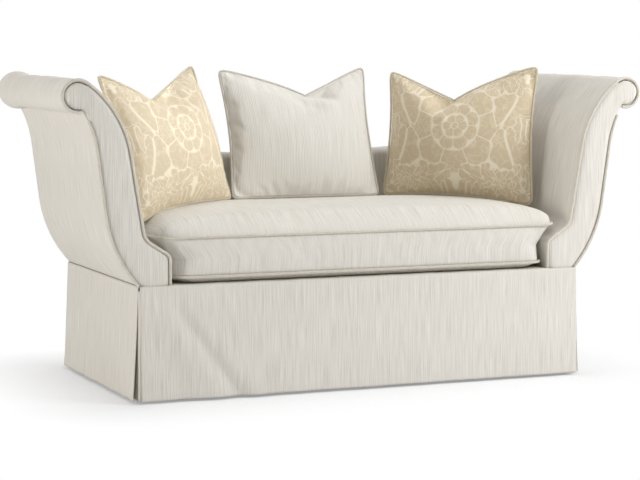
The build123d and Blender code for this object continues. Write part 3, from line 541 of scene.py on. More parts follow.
def gold_damask(name, ground, figure):
    """Satin damask: gold flowers and leaves in a half-drop repeat on a cream ground."""
    material, tree, shader = new_finish(name, sheen_weight=0.15, sheen_roughness=0.4, specular_ior_level=0.3)
    flower = flower_group(leaf_group())
    place = cloth_place(tree)
    sway = calc(tree, "MULTIPLY_ADD", noise(tree, place, 9.0, 1.0), 0.016, -0.008)
    parts = axes(tree, place)
    shapes = []
    for drop, size in ((0.0, 1.0), (0.5, DAMASK_SMALL)):
        x = calc(tree, "ADD", in_repeat(tree, parts["X"], DAMASK_WIDE, drop), sway)
        y = in_repeat(tree, parts["Y"], DAMASK_HIGH, drop)
        inputs = {"Across": calc(tree, "DIVIDE", x, size), "Along": calc(tree, "DIVIDE", y, size)}
        shapes.append(put(tree, "ShaderNodeGroup", inputs, node_tree=flower).outputs["Flower"])
    shape = beside(tree, *shapes)
    curl = calc(tree, "ABSOLUTE", calc(tree, "SUBTRACT", noise(tree, place, 34.0, 1.0), 0.5))
    vein = calc(tree, "MULTIPLY_ADD", curl, -18.0, 1.0, clamp=True)
    mask = calc(tree, "MULTIPLY_ADD", shape, 7.0, 0.5, clamp=True)
    mask = calc(tree, "MULTIPLY", mask, calc(tree, "MULTIPLY_ADD", vein, -0.42, 1.0))
    thread = noise(tree, stretched(tree, place, (500, 60, 1)), 1.0, 3.0, 0.6)
    worn = noise(tree, place, 14.0, 3.0)
    tone = calc(tree, "MULTIPLY_ADD", thread, 0.22, calc(tree, "MULTIPLY_ADD", worn, 0.16, -0.19))
    factor = calc(tree, "ADD", calc(tree, "MULTIPLY_ADD", mask, 0.72, 0.12), tone, clamp=True)
    pale = tuple(1.06 * c for c in ground)
    deep = tuple(0.90 * c for c in figure)
    stops = ((0.0, pale), (0.2, ground), (0.72, figure), (1.0, deep))
    wire(tree, shader, base_color=ramp(tree, factor, *stops))
    wire(tree, shader, roughness=calc(tree, "MULTIPLY_ADD", mask, -0.16, 0.66))
    slant = calc(tree, "ADD", calc(tree, "MULTIPLY", parts["X"], 2 * pi / TWILL_ACROSS),
                 calc(tree, "MULTIPLY", parts["Y"], 2 * pi / TWILL_ALONG))
    twill = calc(tree, "SINE", slant)
    height = calc(tree, "ADD", calc(tree, "MULTIPLY", mask, 1.5), calc(tree, "MULTIPLY", twill, 0.25))
    wire(tree, shader, normal=bump(tree, calc(tree, "ADD", height, thread), 0.0004, 0.6))
    return material


def woven(name, across, along, deep, pale, depth, rough=0.9):
    """A plain weave of round threads on Object coordinates, for the cloth nobody sees first."""
    material, tree, shader = new_finish(name, roughness=rough, specular_ior_level=0.2)
    place = object_place(tree)
    parts = axes(tree, place)
    height = calc(tree, "MULTIPLY", waves(tree, parts["X"], across), waves(tree, parts["Y"], along))
    fluff = noise(tree, place, 260.0, 4.0)
    tone = calc(tree, "MULTIPLY_ADD", height, 0.16, calc(tree, "MULTIPLY_ADD", fluff, 0.8, 0.1))
    wire(tree, shader, base_color=ramp(tree, tone, (0.25, deep), (0.75, pale)))
    wire(tree, shader, normal=bump(tree, calc(tree, "ADD", height, fluff), depth, 0.6))
    return material


def sawn_wood(name):
    """Sawn, unfinished hardwood: long grain, growth bands and saw marks."""
    material, tree, shader = new_finish(name, roughness=0.72, specular_ior_level=0.3)
    place = object_place(tree)
    grain = noise(tree, stretched(tree, place, (9, 90, 90)), 1.0, 6.0, 0.6)
    band = noise(tree, stretched(tree, place, (1.5, 16, 16)), 1.0, 2.0)
    saw = noise(tree, stretched(tree, place, (340, 6, 6)), 1.0, 2.0)
    tone = calc(tree, "MULTIPLY_ADD", grain, 0.5, calc(tree, "MULTIPLY", band, 0.5))
    colours = ((0.3, (0.30, 0.185, 0.095)), (0.5, (0.42, 0.28, 0.155)), (0.72, (0.53, 0.38, 0.23)))
    wire(tree, shader, base_color=ramp(tree, tone, *colours))
    height = calc(tree, "ADD", grain, calc(tree, "MULTIPLY", saw, 0.5))
    wire(tree, shader, normal=bump(tree, height, 0.0006, 0.6))
    return material


def drawn_metal(name, deep, pale, scale):
    """Drawn or plated steel with fine rub marks."""
    material, tree, shader = new_finish(name, metallic=1.0)
    place = object_place(tree)
    rub = noise(tree, place, scale, 4.0, 0.6)
    wire(tree, shader, base_color=ramp(tree, rub, (0.3, deep), (0.7, pale)))
    wire(tree, shader, roughness=calc(tree, "MULTIPLY_ADD", rub, 0.3, 0.22))
    wire(tree, shader, normal=bump(tree, rub, 0.0001, 0.4))
    return material


def soft_stuff(name, deep, pale, scale, depth):
    """Felt, foam or filling: a fibrous or porous mass."""
    material, tree, shader = new_finish(name, roughness=0.95, specular_ior_level=0.1, sheen_weight=0.2)
    place = object_place(tree)
    pores = put(tree, "ShaderNodeTexVoronoi", {"Vector": place, "Scale": scale}).outputs["Distance"]
    fibre = noise(tree, place, 0.4 * scale, 5.0, 0.7)
    wire(tree, shader, base_color=ramp(tree, fibre, (0.3, deep), (0.7, pale)))
    wire(tree, shader, normal=bump(tree, calc(tree, "ADD", pores, fibre), depth, 0.8))
    return material


def moulded_nylon(name, deep, pale):
    """Moulded nylon with a faint cast grain."""
    material, tree, shader = new_finish(name, specular_ior_level=0.45)
    place = object_place(tree)
    cast = noise(tree, place, 420.0, 3.0)
    wire(tree, shader, base_color=ramp(tree, cast, (0.3, deep), (0.7, pale)))
    wire(tree, shader, roughness=calc(tree, "MULTIPLY_ADD", cast, 0.25, 0.35))
    wire(tree, shader, normal=bump(tree, cast, 0.00015, 0.5))
    return material


FINISHES = {
    "ivory_rib": ivory_rib("ivory_rib", (0.60, 0.56, 0.49), (0.71, 0.68, 0.62), (0.785, 0.762, 0.712), 0.10),
    "ivory_pillow_rib": ivory_rib("ivory_pillow_rib", (0.68, 0.645, 0.58), (0.765, 0.735, 0.675),
                                  (0.82, 0.795, 0.74), 0.15),
    "ivory_welt": welt_cloth("ivory_welt", (0.60, 0.55, 0.46), (0.76, 0.72, 0.64)),
    "gold_damask": gold_damask("gold_damask", (0.785, 0.708, 0.56), (0.655, 0.545, 0.372)),
    "gold_welt": welt_cloth("gold_welt", (0.62, 0.53, 0.36), (0.78, 0.70, 0.54)),
    "hardwood": sawn_wood("hardwood"),
    "zinc_steel": drawn_metal("zinc_steel", (0.55, 0.56, 0.58), (0.74, 0.75, 0.76), 240.0),
    "spring_steel": drawn_metal("spring_steel", (0.13, 0.13, 0.14), (0.27, 0.27, 0.28), 320.0),
    "glide_nylon": moulded_nylon("glide_nylon", (0.035, 0.034, 0.033), (0.06, 0.058, 0.055)),
    "zip_nylon": moulded_nylon("zip_nylon", (0.60, 0.56, 0.48), (0.72, 0.68, 0.60)),
    "hessian": woven("hessian", 0.0032, 0.0034, (0.25, 0.17, 0.09), (0.47, 0.35, 0.20), 0.0006),
    # Deck cloth: its own cloth colour, made paler as painted light to lift the shade in the gap under the
    # cushion
    "deck_cloth": woven("deck_cloth", 0.0012, 0.0014, (0.64, 0.60, 0.52), (0.78, 0.74, 0.66), 0.0003),
    "black_cambric": woven("black_cambric", 0.0010, 0.0011, (0.012, 0.012, 0.013), (0.035, 0.035, 0.036),
                           0.0002),
    "felt": soft_stuff("felt", (0.36, 0.35, 0.33), (0.55, 0.53, 0.50), 700.0, 0.0006),
}

CAD_FINISHES = {
    "hardwood": ("front_seat_rail", "back_seat_rail", "end_seat_rails", "corner_blocks", "seat_stretchers",
                 "corner_legs", "centre_legs", "arm_dowels", "back_uprights", "back_top_rail",
                 "left_arm_front_post", "right_arm_front_post", "left_arm_rear_post", "right_arm_rear_post",
                 "left_arm_roll_core", "right_arm_roll_core", "left_arm_rails", "right_arm_rails"),
    "zinc_steel": ("leg_bolts", "spring_clips"),
    "spring_steel": ("seat_springs",),
    "glide_nylon": ("leg_glides",),
    "hessian": ("deck_hessian",),
    "felt": ("deck_pad", "front_border", "back_border", "left_end_border", "right_end_border"),
}


def finish_cad_nodes():
    """Gives the frame, springs and fillings their finishes."""
    for finish, names in CAD_FINISHES.items():
        for name in names:
            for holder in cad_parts[name].material_slots:
                holder.material = FINISHES[finish]


# Mesh building
def ease(t):
    """A smooth step from 0 to 1."""
    t = np.clip(t, 0.0, 1.0)
    return t * t * (3 - 2 * t)


def uneven(a, b, seed, *lengths):
    """A soft unevenness over two lengths, between about -1 and 1, the same on every run."""
    draw = np.random.default_rng(seed)
    total = np.zeros(np.broadcast(a, b).shape)
    for length in lengths:
        for _ in range(3):
            turn, shift = draw.uniform(0, 2 * pi, 2)
            total = total + np.sin((np.cos(turn) * a + np.sin(turn) * b) * 2 * pi / length + shift)
    return total / (3 * len(lengths)) * 1.6


def quads(rows, columns, first=0):
    """The faces of a grid of points."""
    index = first + np.arange(rows * columns).reshape(rows, columns)
    corners = (index[:-1, :-1], index[:-1, 1:], index[1:, 1:], index[1:, :-1])
    return np.stack(corners, -1).reshape(-1, 4)


def cloth_mesh(name, points, faces, cloth):
    """A smooth mesh from points in millimetres; its cloth map has a pair for each face corner or point."""
    mesh = bpy.data.meshes.new(name)
    mesh.from_pydata((np.asarray(points).reshape(-1, 3) * MM).tolist(), [], faces.tolist())
    layer = mesh.uv_layers.new(name="cloth")
    cloth = np.asarray(cloth).reshape(-1, 2) * MM
    if len(cloth) != faces.size:
        cloth = cloth[faces.ravel()]
    layer.data.foreach_set("uv", cloth.astype(np.float32).ravel())
    mesh.polygons.foreach_set("use_smooth", np.ones(len(faces), bool))
    mesh.update()
    return mesh


def facing_faces(points, faces, outward):
    """The faces turned so that the first one looks along outward."""
    a, b, c = (np.asarray(points).reshape(-1, 3)[i] for i in faces[0][:3])
    return faces if np.dot(np.cross(b - a, c - a), outward) > 0 else faces[:, ::-1]


def add_piece(name, mesh, body, slot, *nodes):
    """Puts a finished mesh in the scene on its body, in place of its solids."""
    obj = bpy.data.objects.new(name, mesh)
    scene.collection.objects.link(obj)
    if not mesh.materials:
        mesh.materials.append(FINISHES[slot])
    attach(obj, body)
    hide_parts(*nodes)
    return obj


def thicken(obj, thick):
    """Gives a sheet a thickness in millimetres, inwards."""
    wall = obj.modifiers.new("cloth_thickness", "SOLIDIFY")
    wall.thickness = thick * MM
    wall.offset = -1.0


def grid_piece(name, points, cloth, outward, slot, node, thick):
    """A piece of the frame's covers, from a grid of points, given a thickness inwards."""
    faces = facing_faces(points, quads(*points.shape[:2]), outward)
    obj = add_piece(name, cloth_mesh(name, points, faces, cloth), "settee_frame", slot, node)
    thicken(obj, thick)
    return obj


def mesh_points(mesh):
    """A mesh's points in millimetres."""
    return np.array([v.co for v in mesh.vertices]) / MM


def set_points(mesh, points):
    """Moves a mesh's points to places in millimetres."""
    mesh.vertices.foreach_set("co", (points * MM).ravel())
    mesh.update()


def rim_order(grid):
    """What a grid holds round its rim, in order."""
    return np.concatenate([grid[0, :-1], grid[:-1, -1], grid[-1, :0:-1], grid[:0:-1, 0]])


def route(start, heading, *steps, spacing=6.0):
    """Points and headings along straight runs and turns; a heading leans outwards from vertical."""
    points, headings = [np.array(start, float)], [radians(heading)]
    for length, turn in steps:
        turn = radians(turn)
        radius = length if turn else 0.0
        reach = abs(radius * turn) if turn else length
        count = max(1, ceil(reach / spacing))
        for _ in range(count):
            old = headings[-1]
            new = old + turn / count
            if turn:
                side = np.sign(turn)
                step = side * radius * np.array([cos(old) - cos(new), sin(new) - sin(old)])
            else:
                step = reach / count * np.array([sin(old), cos(old)])
            points.append(points[-1] + step)
            headings.append(new)
    return np.array(points), np.array(headings)


def run_lengths(points):
    """How far along a route each point is."""
    return np.concatenate([[0], np.cumsum(np.linalg.norm(np.diff(points, axis=0), axis=1))])


def spread(points, count):
    """A route's points spread evenly to a count."""
    far = run_lengths(points)
    places = np.linspace(0, far[-1], count)
    return np.stack([np.interp(places, far, points[:, k]) for k in range(points.shape[1])], -1)


def inner_edge(roll):
    """The arm's inner edge from its foot to the roll, and round the roll by a turn."""
    steps = [
        (FOOT_RISE, 0), (SHOULDER_OUT_RADIUS, SHOULDER_TURN), (SHOULDER_RUN, 0),
        (SHOULDER_IN_RADIUS, ARM_LEAN - SHOULDER_TURN), (LEAN_RUN, 0), (SWEEP_RADIUS, SWEEP_END - ARM_LEAN),
    ]
    if roll:
        steps.append((ROLL_RADIUS, roll))
    return route((FOOT_X, FOOT_LOW_Z), 0, *steps)


def outer_edge(end):
    """The arm's outer edge from the base to a slope near the roll."""
    steps = [
        (OUTER_LOW_RADIUS, OUTER_LEAN - OUTER_START),
        (OUTER_RUN, 0),
        (OUTER_HIGH_RADIUS, end - OUTER_LEAN),
    ]
    return route((BASE_HALF, DECK_Z), OUTER_START, *steps)


def up_to_roll(points, centre, radius):
    """An edge cut off where it first comes within the roll, with its last point on the roll."""
    inside = np.linalg.norm(points - centre, axis=1) < radius + 0.01
    last = int(np.argmax(inside)) if inside.any() else len(points) - 1
    way = points[last] - centre
    return np.vstack([points[:last], centre + way * radius / np.linalg.norm(way)])


def end_panel_grid(centre, radius):
    """Rungs across an arm's end, from its foot to the far side of its roll: points, share across, width."""
    centre = np.array(centre)
    inner = up_to_roll(inner_edge(0)[0], centre, radius)
    outer = up_to_roll(np.vstack([[BASE_HALF, BASE_LOW_Z], outer_edge(OUTER_END)[0]]), centre, radius)
    start, stop = (atan2(p[1] - centre[1], p[0] - centre[0]) for p in (inner[-1], outer[-1]))
    stop = stop - 2 * pi if stop > start else stop
    shares = np.linspace(0, 0.985, PANEL_ROLL_RUNGS + 1)[1:]
    half = 0.5 * (start - stop) * shares
    over = centre + radius * np.stack([np.cos(start - half), np.sin(start - half)], -1)
    under = centre + radius * np.stack([np.cos(stop + half), np.sin(stop + half)], -1)
    one = np.vstack([spread(inner, PANEL_RUNGS), over])
    two = np.vstack([spread(outer, PANEL_RUNGS), under])
    across = 0.5 - 0.5 * np.cos(np.linspace(0, pi, PANEL_COLUMNS))
    grid = one[:, None] + across[None, :, None] * (two - one)[:, None]
    wide = np.linalg.norm(two - one, axis=1)[:, None] * np.ones(PANEL_COLUMNS)
    return grid, np.broadcast_to(across, wide.shape), wide


def arm_end_panel(side, sign, which):
    """The padded panel on one end of an arm; the front one lies within its welt."""
    front = which == "front"
    if front:
        grid, share, wide = end_panel_grid((ROLL_X, ROLL_Z), ROLL_RADIUS - PANEL_INSET)
        middle = 0.5 * (grid[:, :1] + grid[:, -1:])
        narrowed = 1 - 2 * PANEL_INSET / np.maximum(wide[..., None], 10)
        grid = middle + (grid - middle) * np.maximum(narrowed, 0.2)
    else:
        grid, share, wide = end_panel_grid((ROLL_END_X, ROLL_Z), ROLL_END_RADIUS)
    crown = (1 - np.abs(2 * share - 1) ** 5) * np.minimum(1, wide / PANEL_FULL_WIDTH)
    soft = uneven(grid[..., 0], grid[..., 1], 11, 150, 70) * 0.5 * crown
    if front:
        depth = PANEL_FRONT_Y - PANEL_FRONT_CROWN * crown - soft
    else:
        depth = PANEL_BACK_Y + PANEL_BACK_CROWN * crown + soft
    points = np.stack([sign * grid[..., 0], depth, grid[..., 1]], -1)
    outward = (0, -1 if front else 1, 0)
    name, node = f"{side}_arm_{which}_cloth", f"{side}_arm_{which}_panel"
    grid_piece(name, points, grid, outward, "ivory_rib", node, PANEL_CLOTH)


def arm_cover(side, sign, which, facing, deep, far, x, z, thick):
    """An arm's cover, from its outline at each depth; its cloth map runs up from its foot."""
    depth = np.broadcast_to(deep, x.shape)
    cloth = np.stack([depth, np.broadcast_to(far, x.shape)], -1)
    points = np.stack([sign * x, depth, z], -1)
    name, node = f"{side}_arm_{which}_cloth", f"{side}_{which}_arm"
    grid_piece(name, points, cloth, (facing * sign, 0, 0), "ivory_rib", node, thick)


def arm_inside(side, sign):
    """The padded cover of an arm's inside, carried over the roll, which is fuller at its rear end."""
    path, headings = inner_edge(ROLL_TURN)
    far = run_lengths(path)
    deep = np.linspace(-ARM_HALF_DEEP, ARM_HALF_DEEP, ARM_ROWS)[:, None]
    out = np.stack([-np.cos(headings), np.sin(headings)], -1)
    high = ease((far - INSIDE_PAD_START) / INSIDE_PAD_RISE)[None, :]
    side_seam = np.sin(pi * (deep + ARM_HALF_DEEP) / (2 * ARM_HALF_DEEP)) ** 0.4
    lumps = uneven(deep, far[None, :], 5, 190, 90)
    puff = INSIDE_PUFF * high * side_seam + INSIDE_LUMPS * high * side_seam * lumps
    puff = puff - INSIDE_WELT_TUCK * np.exp(-((deep + ARM_HALF_DEEP) / 5) ** 2)
    rear = ease((deep - ARM_HALF_DEEP + ROLL_END_LONG) / ROLL_END_LONG)
    swell = rear * ease((headings - radians(ROLL_SWELL_START)) / radians(ROLL_SWELL_TURN))
    fuller = ROLL_END_RADIUS - ROLL_RADIUS
    x = path[:, 0] + (puff + fuller * swell) * out[:, 0] + (ROLL_END_X - ROLL_X) * swell
    z = path[:, 1] + (puff + fuller * swell) * out[:, 1]
    arm_cover(side, sign, "inside", -1, deep, far, x, z, INSIDE_CLOTH)


def arm_outside(side, sign):
    """The padded cover of an arm's outside, from the skirt up under the roll."""
    path, headings = outer_edge(OUTER_END)
    far = run_lengths(path)
    deep = np.linspace(-ARM_HALF_DEEP, ARM_HALF_DEEP, ARM_ROWS)[:, None]
    out = np.stack([np.cos(headings), -np.sin(headings)], -1)
    side_seam = np.sin(pi * (deep + ARM_HALF_DEEP) / (2 * ARM_HALF_DEEP)) ** 0.5
    belly = np.sin(pi * far / far[-1])[None, :] * side_seam
    puff = OUTSIDE_PUFF * belly + OUTSIDE_LUMPS * belly * uneven(deep, far[None, :], 8, 260, 120)
    x = path[:, 0] + puff * out[:, 0]
    z = path[:, 1] + puff * out[:, 1]
    arm_cover(side, sign, "outside", 1, deep, far, x, z, OUTSIDE_CLOTH)


# Welts, zip teeth and staples, by geometry nodes
def socket_names(tree):
    """A tree's input identifiers by name."""
    return {i.name: i.identifier for i in tree.interface.items_tree if i.in_out == "INPUT"}


def new_tree(name, *inputs):
    """A geometry tree with named inputs and one geometry output."""
    tree = bpy.data.node_groups.new(name, "GeometryNodeTree")
    for label, kind in inputs:
        tree.interface.new_socket(label, in_out="INPUT", socket_type=f"NodeSocket{kind}")
    tree.interface.new_socket("Made", in_out="OUTPUT", socket_type="NodeSocketGeometry")
    return tree, tree.nodes.new("NodeGroupInput").outputs


def end_tree(tree, geometry, finish):
    """Ends a tree in real geometry with its finish."""
    real = put(tree, "GeometryNodeRealizeInstances", {"Geometry": geometry}).outputs[0]
    done = put(tree, "GeometryNodeSetMaterial", {"Geometry": real, "Material": finish}).outputs[0]
    put(tree, "NodeGroupOutput", {"Made": done})
    return tree


def capture(tree, geometry, label, value):
    """Keeps a number with a geometry: gives the geometry, then the kept number."""
    node = tree.nodes.new("GeometryNodeCaptureAttribute")
    node.capture_items.new("FLOAT", label)
    tree.links.new(geometry, node.inputs["Geometry"])
    tree.links.new(value, node.inputs[label])
    return node.outputs["Geometry"], node.outputs[label]


def welt_tree():
    """A cord of cloth along a path, with its cloth map: along the cord, and round it."""
    tree, given = new_tree("fabric_welt", ("Path", "Geometry"), ("Radius", "Float"), ("Sides", "Int"),
                           ("Unevenness", "Float"), ("Cloth", "Material"))
    curve = put(tree, "GeometryNodeMeshToCurve", {"Mesh": given["Path"]}).outputs[0]
    length = put(tree, "GeometryNodeSplineParameter").outputs["Length"]
    curve, along = capture(tree, curve, "Along", length)
    lump = put(tree, "ShaderNodeTexNoise", {"Scale": 90.0, "Detail": 1.0}).outputs["Fac"]
    size = calc(tree, "SUBTRACT", lump, 0.5)
    size = calc(tree, "MULTIPLY_ADD", size, given["Unevenness"], 1.0)
    curve = put(tree, "GeometryNodeSetCurveRadius", {"Curve": curve, "Radius": size}).outputs[0]
    inputs = {"Resolution": given["Sides"], "Radius": given["Radius"]}
    ring = put(tree, "GeometryNodeCurvePrimitiveCircle", inputs)
    share = put(tree, "GeometryNodeSplineParameter").outputs["Factor"]
    profile, about = capture(tree, ring.outputs["Curve"], "Round", share)
    inputs = {"Curve": curve, "Profile Curve": profile, "Scale": size, "Fill Caps": True}
    tube = put(tree, "GeometryNodeCurveToMesh", inputs).outputs[0]
    place = put(tree, "ShaderNodeCombineXYZ", {"X": along, "Y": about}).outputs[0]
    inputs = {"Geometry": tube, "Name": "cloth", "Value": place}
    mapped = put(tree, "GeometryNodeStoreNamedAttribute", inputs, data_type="FLOAT2", domain="CORNER")
    smooth = put(tree, "GeometryNodeSetShadeSmooth", {"Geometry": mapped.outputs[0]}).outputs[0]
    return end_tree(tree, smooth, given["Cloth"])


def zip_tree():
    """Two staggered rows of zip teeth along a tape."""
    tree, given = new_tree("zip_teeth", ("Tape", "Geometry"), ("Teeth", "Int"), ("Start", "Vector"),
                           ("Pitch", "Vector"), ("Stagger", "Vector"), ("Tooth", "Vector"),
                           ("Nylon", "Material"))
    tooth = put(tree, "GeometryNodeMeshCube", {"Size": given["Tooth"]}).outputs["Mesh"]
    rows = []
    for staggered in (False, True):
        inputs = {"Count": given["Teeth"], "Start Location": given["Start"], "Offset": given["Pitch"]}
        line = put(tree, "GeometryNodeMeshLine", inputs).outputs[0]
        if staggered:
            inputs = {"Geometry": line, "Offset": given["Stagger"]}
            line = put(tree, "GeometryNodeSetPosition", inputs).outputs[0]
        inputs = {"Points": line, "Instance": tooth}
        rows.append(put(tree, "GeometryNodeInstanceOnPoints", inputs).outputs[0])
    joined = tree.nodes.new("GeometryNodeJoinGeometry")
    for part in (given["Tape"], *rows):
        tree.links.new(part, joined.inputs[0])
    return end_tree(tree, joined.outputs[0], given["Nylon"])


def staple_tree():
    """Staples at an even spacing along an edge, each in line with it."""
    tree, given = new_tree("edge_staples", ("Edge", "Geometry"), ("Spacing", "Float"), ("Staple", "Vector"),
                           ("Steel", "Material"))
    curve = put(tree, "GeometryNodeMeshToCurve", {"Mesh": given["Edge"]}).outputs[0]
    inputs = {"Curve": curve, "Length": given["Spacing"]}
    points = put(tree, "GeometryNodeCurveToPoints", inputs, mode="LENGTH").outputs
    staple = put(tree, "GeometryNodeMeshCube", {"Size": given["Staple"]}).outputs["Mesh"]
    turn = put(tree, "FunctionNodeAlignRotationToVector", {"Vector": points["Tangent"]}, axis="X").outputs[0]
    inputs = {"Points": points["Points"], "Instance": staple, "Rotation": turn}
    placed = put(tree, "GeometryNodeInstanceOnPoints", inputs).outputs[0]
    return end_tree(tree, placed, given["Steel"])


def grown(name, mesh, tree, values, body, slot, *nodes):
    """Runs a tree on a mesh and puts the plain mesh that it gives in the scene."""
    seed = bpy.data.objects.new(name + "_path", mesh)
    scene.collection.objects.link(seed)
    maker = seed.modifiers.new("made", "NODES")
    maker.node_group = tree
    names = socket_names(tree)
    for key, value in values.items():
        maker[names[key]] = value
    found = seed.evaluated_get(bpy.context.evaluated_depsgraph_get())
    made = bpy.data.meshes.new_from_object(found)
    made.name = name
    bpy.data.objects.remove(seed)
    return add_piece(name, made, body, slot, *nodes)


def path_mesh(name, *runs):
    """Edges along runs of points in millimetres; each run is (points, closed)."""
    points, edges = [], []
    for run, closed in runs:
        first, count = len(points), len(run)
        points.extend((np.asarray(run, float) * MM).tolist())
        edges.extend((first + k, first + k + 1) for k in range(count - 1))
        if closed:
            edges.append((first + count - 1, first))
    mesh = bpy.data.meshes.new(name)
    mesh.from_pydata(points, edges, [])
    return mesh


WELTS = welt_tree()


def add_welt(name, runs, radius, body, slot, *nodes):
    """A welt along runs of points."""
    values = {
        "Radius": radius * MM,
        "Sides": WELT_SIDES,
        "Unevenness": WELT_UNEVENNESS,
        "Cloth": FINISHES[slot],
    }
    return grown(name, path_mesh(name + "_path", *runs), WELTS, values, body, slot, *nodes)


def arm_welt(side, sign):
    """The welt up an arm panel's inner edge and round its roll, and up its outer edge."""
    runs = []
    for path in (inner_edge(ROLL_WELT_TURN)[0], outer_edge(OUTER_WELT_END)[0]):
        depth = np.full(len(path), ARM_FRONT_WELT_Y)
        runs.append((np.stack([sign * path[:, 0], depth, path[:, 1]], -1), False))
    name, node = f"{side}_arm_welt_cord", f"{side}_arm_front_welt"
    add_welt(name, runs, WELT_RADIUS, "settee_frame", "ivory_welt", node)


# Low back
def back_reach(z):
    """Half the back's width between the arms, at a height."""
    path = inner_edge(0)[0]
    return np.interp(z, path[:, 1], path[:, 0]) - BACK_ARM_GAP


def back_top(x):
    """Height of the back's dipping top edge."""
    return BACK_TOP_Z + x * x / (2 * BACK_TOP_BEND)


def back_face(low, drop, shares, across):
    """X and Z over the back's face, from a height up to a drop below its top edge."""
    z = np.full((len(shares), len(across)), 0.5 * (low + BACK_TOP_Z))
    for _ in range(12):
        x = across[None, :] * back_reach(z)
        z = low + shares[:, None] * (back_top(x) - drop - low)
    return x, z


def back_inside():
    """The padded inside of the back, carried over its rounded top edge."""
    across = np.linspace(-1, 1, BACK_COLUMNS)
    x, z = back_face(DECK_Z + 0.5, BACK_ROUND, np.linspace(0, 1, 26), across)
    face = BACK_PAD_Y - BACK_PUFF * np.sin(pi * (z - DECK_Z) / BACK_PUFF_HIGH) * (1 - across[None, :] ** 8)
    rows = [np.stack([x, face, z], -1)]
    top = back_top(x[-1])
    for turn in np.linspace(0, pi / 2, 8)[1:]:
        y = np.maximum(face[-1], BACK_FRONT_Y) + BACK_ROUND * (1 - cos(turn))
        rows.append(np.stack([x[-1], y, top - BACK_ROUND + BACK_ROUND * sin(turn)], -1)[None])
    for y, drop in BACK_OVER_TOP:
        rows.append(np.stack([x[-1], np.full(BACK_COLUMNS, y), top - drop], -1)[None])
    points = np.vstack(rows)
    far = run_lengths(points[:, BACK_COLUMNS // 2])
    cloth = np.stack([points[..., 0], np.broadcast_to(far[:, None], points.shape[:2])], -1)
    obj = grid_piece("back_inside_cloth", points, cloth, (0, -1, 0), "ivory_rib", "inside_back",
                     BACK_INSIDE_CLOTH)


def back_outside():
    """The plain outside of the back, drawn in along its top and its ends."""
    across = np.linspace(-1, 1, BACK_COLUMNS)
    x, z = back_face(BASE_LOW_Z, 0.0, np.linspace(0, 1, 40), across)
    share = (z - BASE_LOW_Z) / (back_top(x) - BASE_LOW_Z)
    edge = ease((1 - share) / 0.03) * ease((1 - np.abs(across))[None, :] / 0.012)
    belly = 1.2 * np.sin(pi * share) * (1 - across[None, :] ** 4)
    y = BACK_EDGE_Y + BACK_EDGE_RISE * edge + belly + 0.5 * uneven(x, z, 21, 300, 140) * edge
    points = np.stack([x, y, z], -1)
    cloth = np.stack([x, z], -1)
    obj = grid_piece("back_outside_cloth", points, cloth, (0, 1, 0), "ivory_rib", "outside_back",
                     BACK_OUTSIDE_CLOTH)


# Skirt
def fold_rise(reach, z, top, low, wide, tall):
    """How far one slanting fold of a flap stands out, or in, from its top point to its low point."""
    (top_s, top_z), (low_s, low_z) = top, low
    run = np.hypot(low_s - top_s, low_z - top_z)
    across = ((reach - top_s) * (top_z - low_z) - (top_z - z) * (low_s - top_s)) / run
    down = ((reach - top_s) * (low_s - top_s) + (z - top_z) * (low_z - top_z)) / run ** 2
    return tall * np.exp(-(across / wide) ** 2) * ease(down / 0.35) * ease((1.25 - down) / 0.3)


def skirt_flap(name, place, half, seat, along, out, folds, seed):
    """A hanging flap: flat at its top edge, soft folds towards its turned hem, split edges curling out."""
    reach = np.linspace(-half, half, int(half / SKIRT_SPACING) + 1)[None, :]
    z = np.linspace(SKIRT_TOP_Z, HEM_Z, SKIRT_ROWS)[:, None]
    fall = (SKIRT_TOP_Z - z) / (SKIRT_TOP_Z - HEM_Z)
    away = SKIRT_OUT + SKIRT_FLARE * fall
    away = away + SKIRT_WAVE * fall ** 1.5 * uneven(reach, 0.22 * z, seed, 330, 170, 90)
    for fold in folds:
        away = away + fold_rise(reach, z, *fold)
    edge = half - np.abs(reach)
    away = away + SKIRT_EDGE_CURL * fall ** 2 * np.exp(-(edge / 30) ** 2)
    hem = HEM_Z + HEM_DEEP
    away = away + 0.7 * ease((hem + 1 - z) / 2.0) - 0.5 * np.exp(-((z - hem) / 1.6) ** 2)
    away = np.maximum(away, SKIRT_OUT) - SKIRT_TOP_TUCK * ease((z - SKIRT_TOP_Z + 5) / 5)
    reach, z = np.broadcast_arrays(reach, z)
    points = reach[..., None] * np.array(along) + (seat + away)[..., None] * np.array(out)
    points = points + z[..., None] * np.array((0, 0, 1.0))
    cloth = np.stack([reach, z], -1)
    obj = grid_piece(name, points, cloth, out, "ivory_rib", f"{place}_skirt", SKIRT_CLOTH)


def skirt():
    """The four flaps of the skirt."""
    seat = BACK_OUT_Y + SKIRT_SEAT_GAP
    skirt_flap("front_skirt_flap", "front", BASE_HALF, seat, (1, 0, 0), (0, -1, 0), FRONT_FOLDS, 31)
    skirt_flap("back_skirt_flap", "back", BASE_HALF, seat, (-1, 0, 0), (0, 1, 0), (), 32)
    seat = BASE_HALF + SKIRT_SEAT_GAP
    skirt_flap("right_skirt_flap", "right_end", SKIRT_END_HALF, seat, (0, 1, 0), (1, 0, 0), END_FOLDS, 33)
    skirt_flap("left_skirt_flap", "left_end", SKIRT_END_HALF, seat, (0, -1, 0), (-1, 0, 0), END_FOLDS, 34)


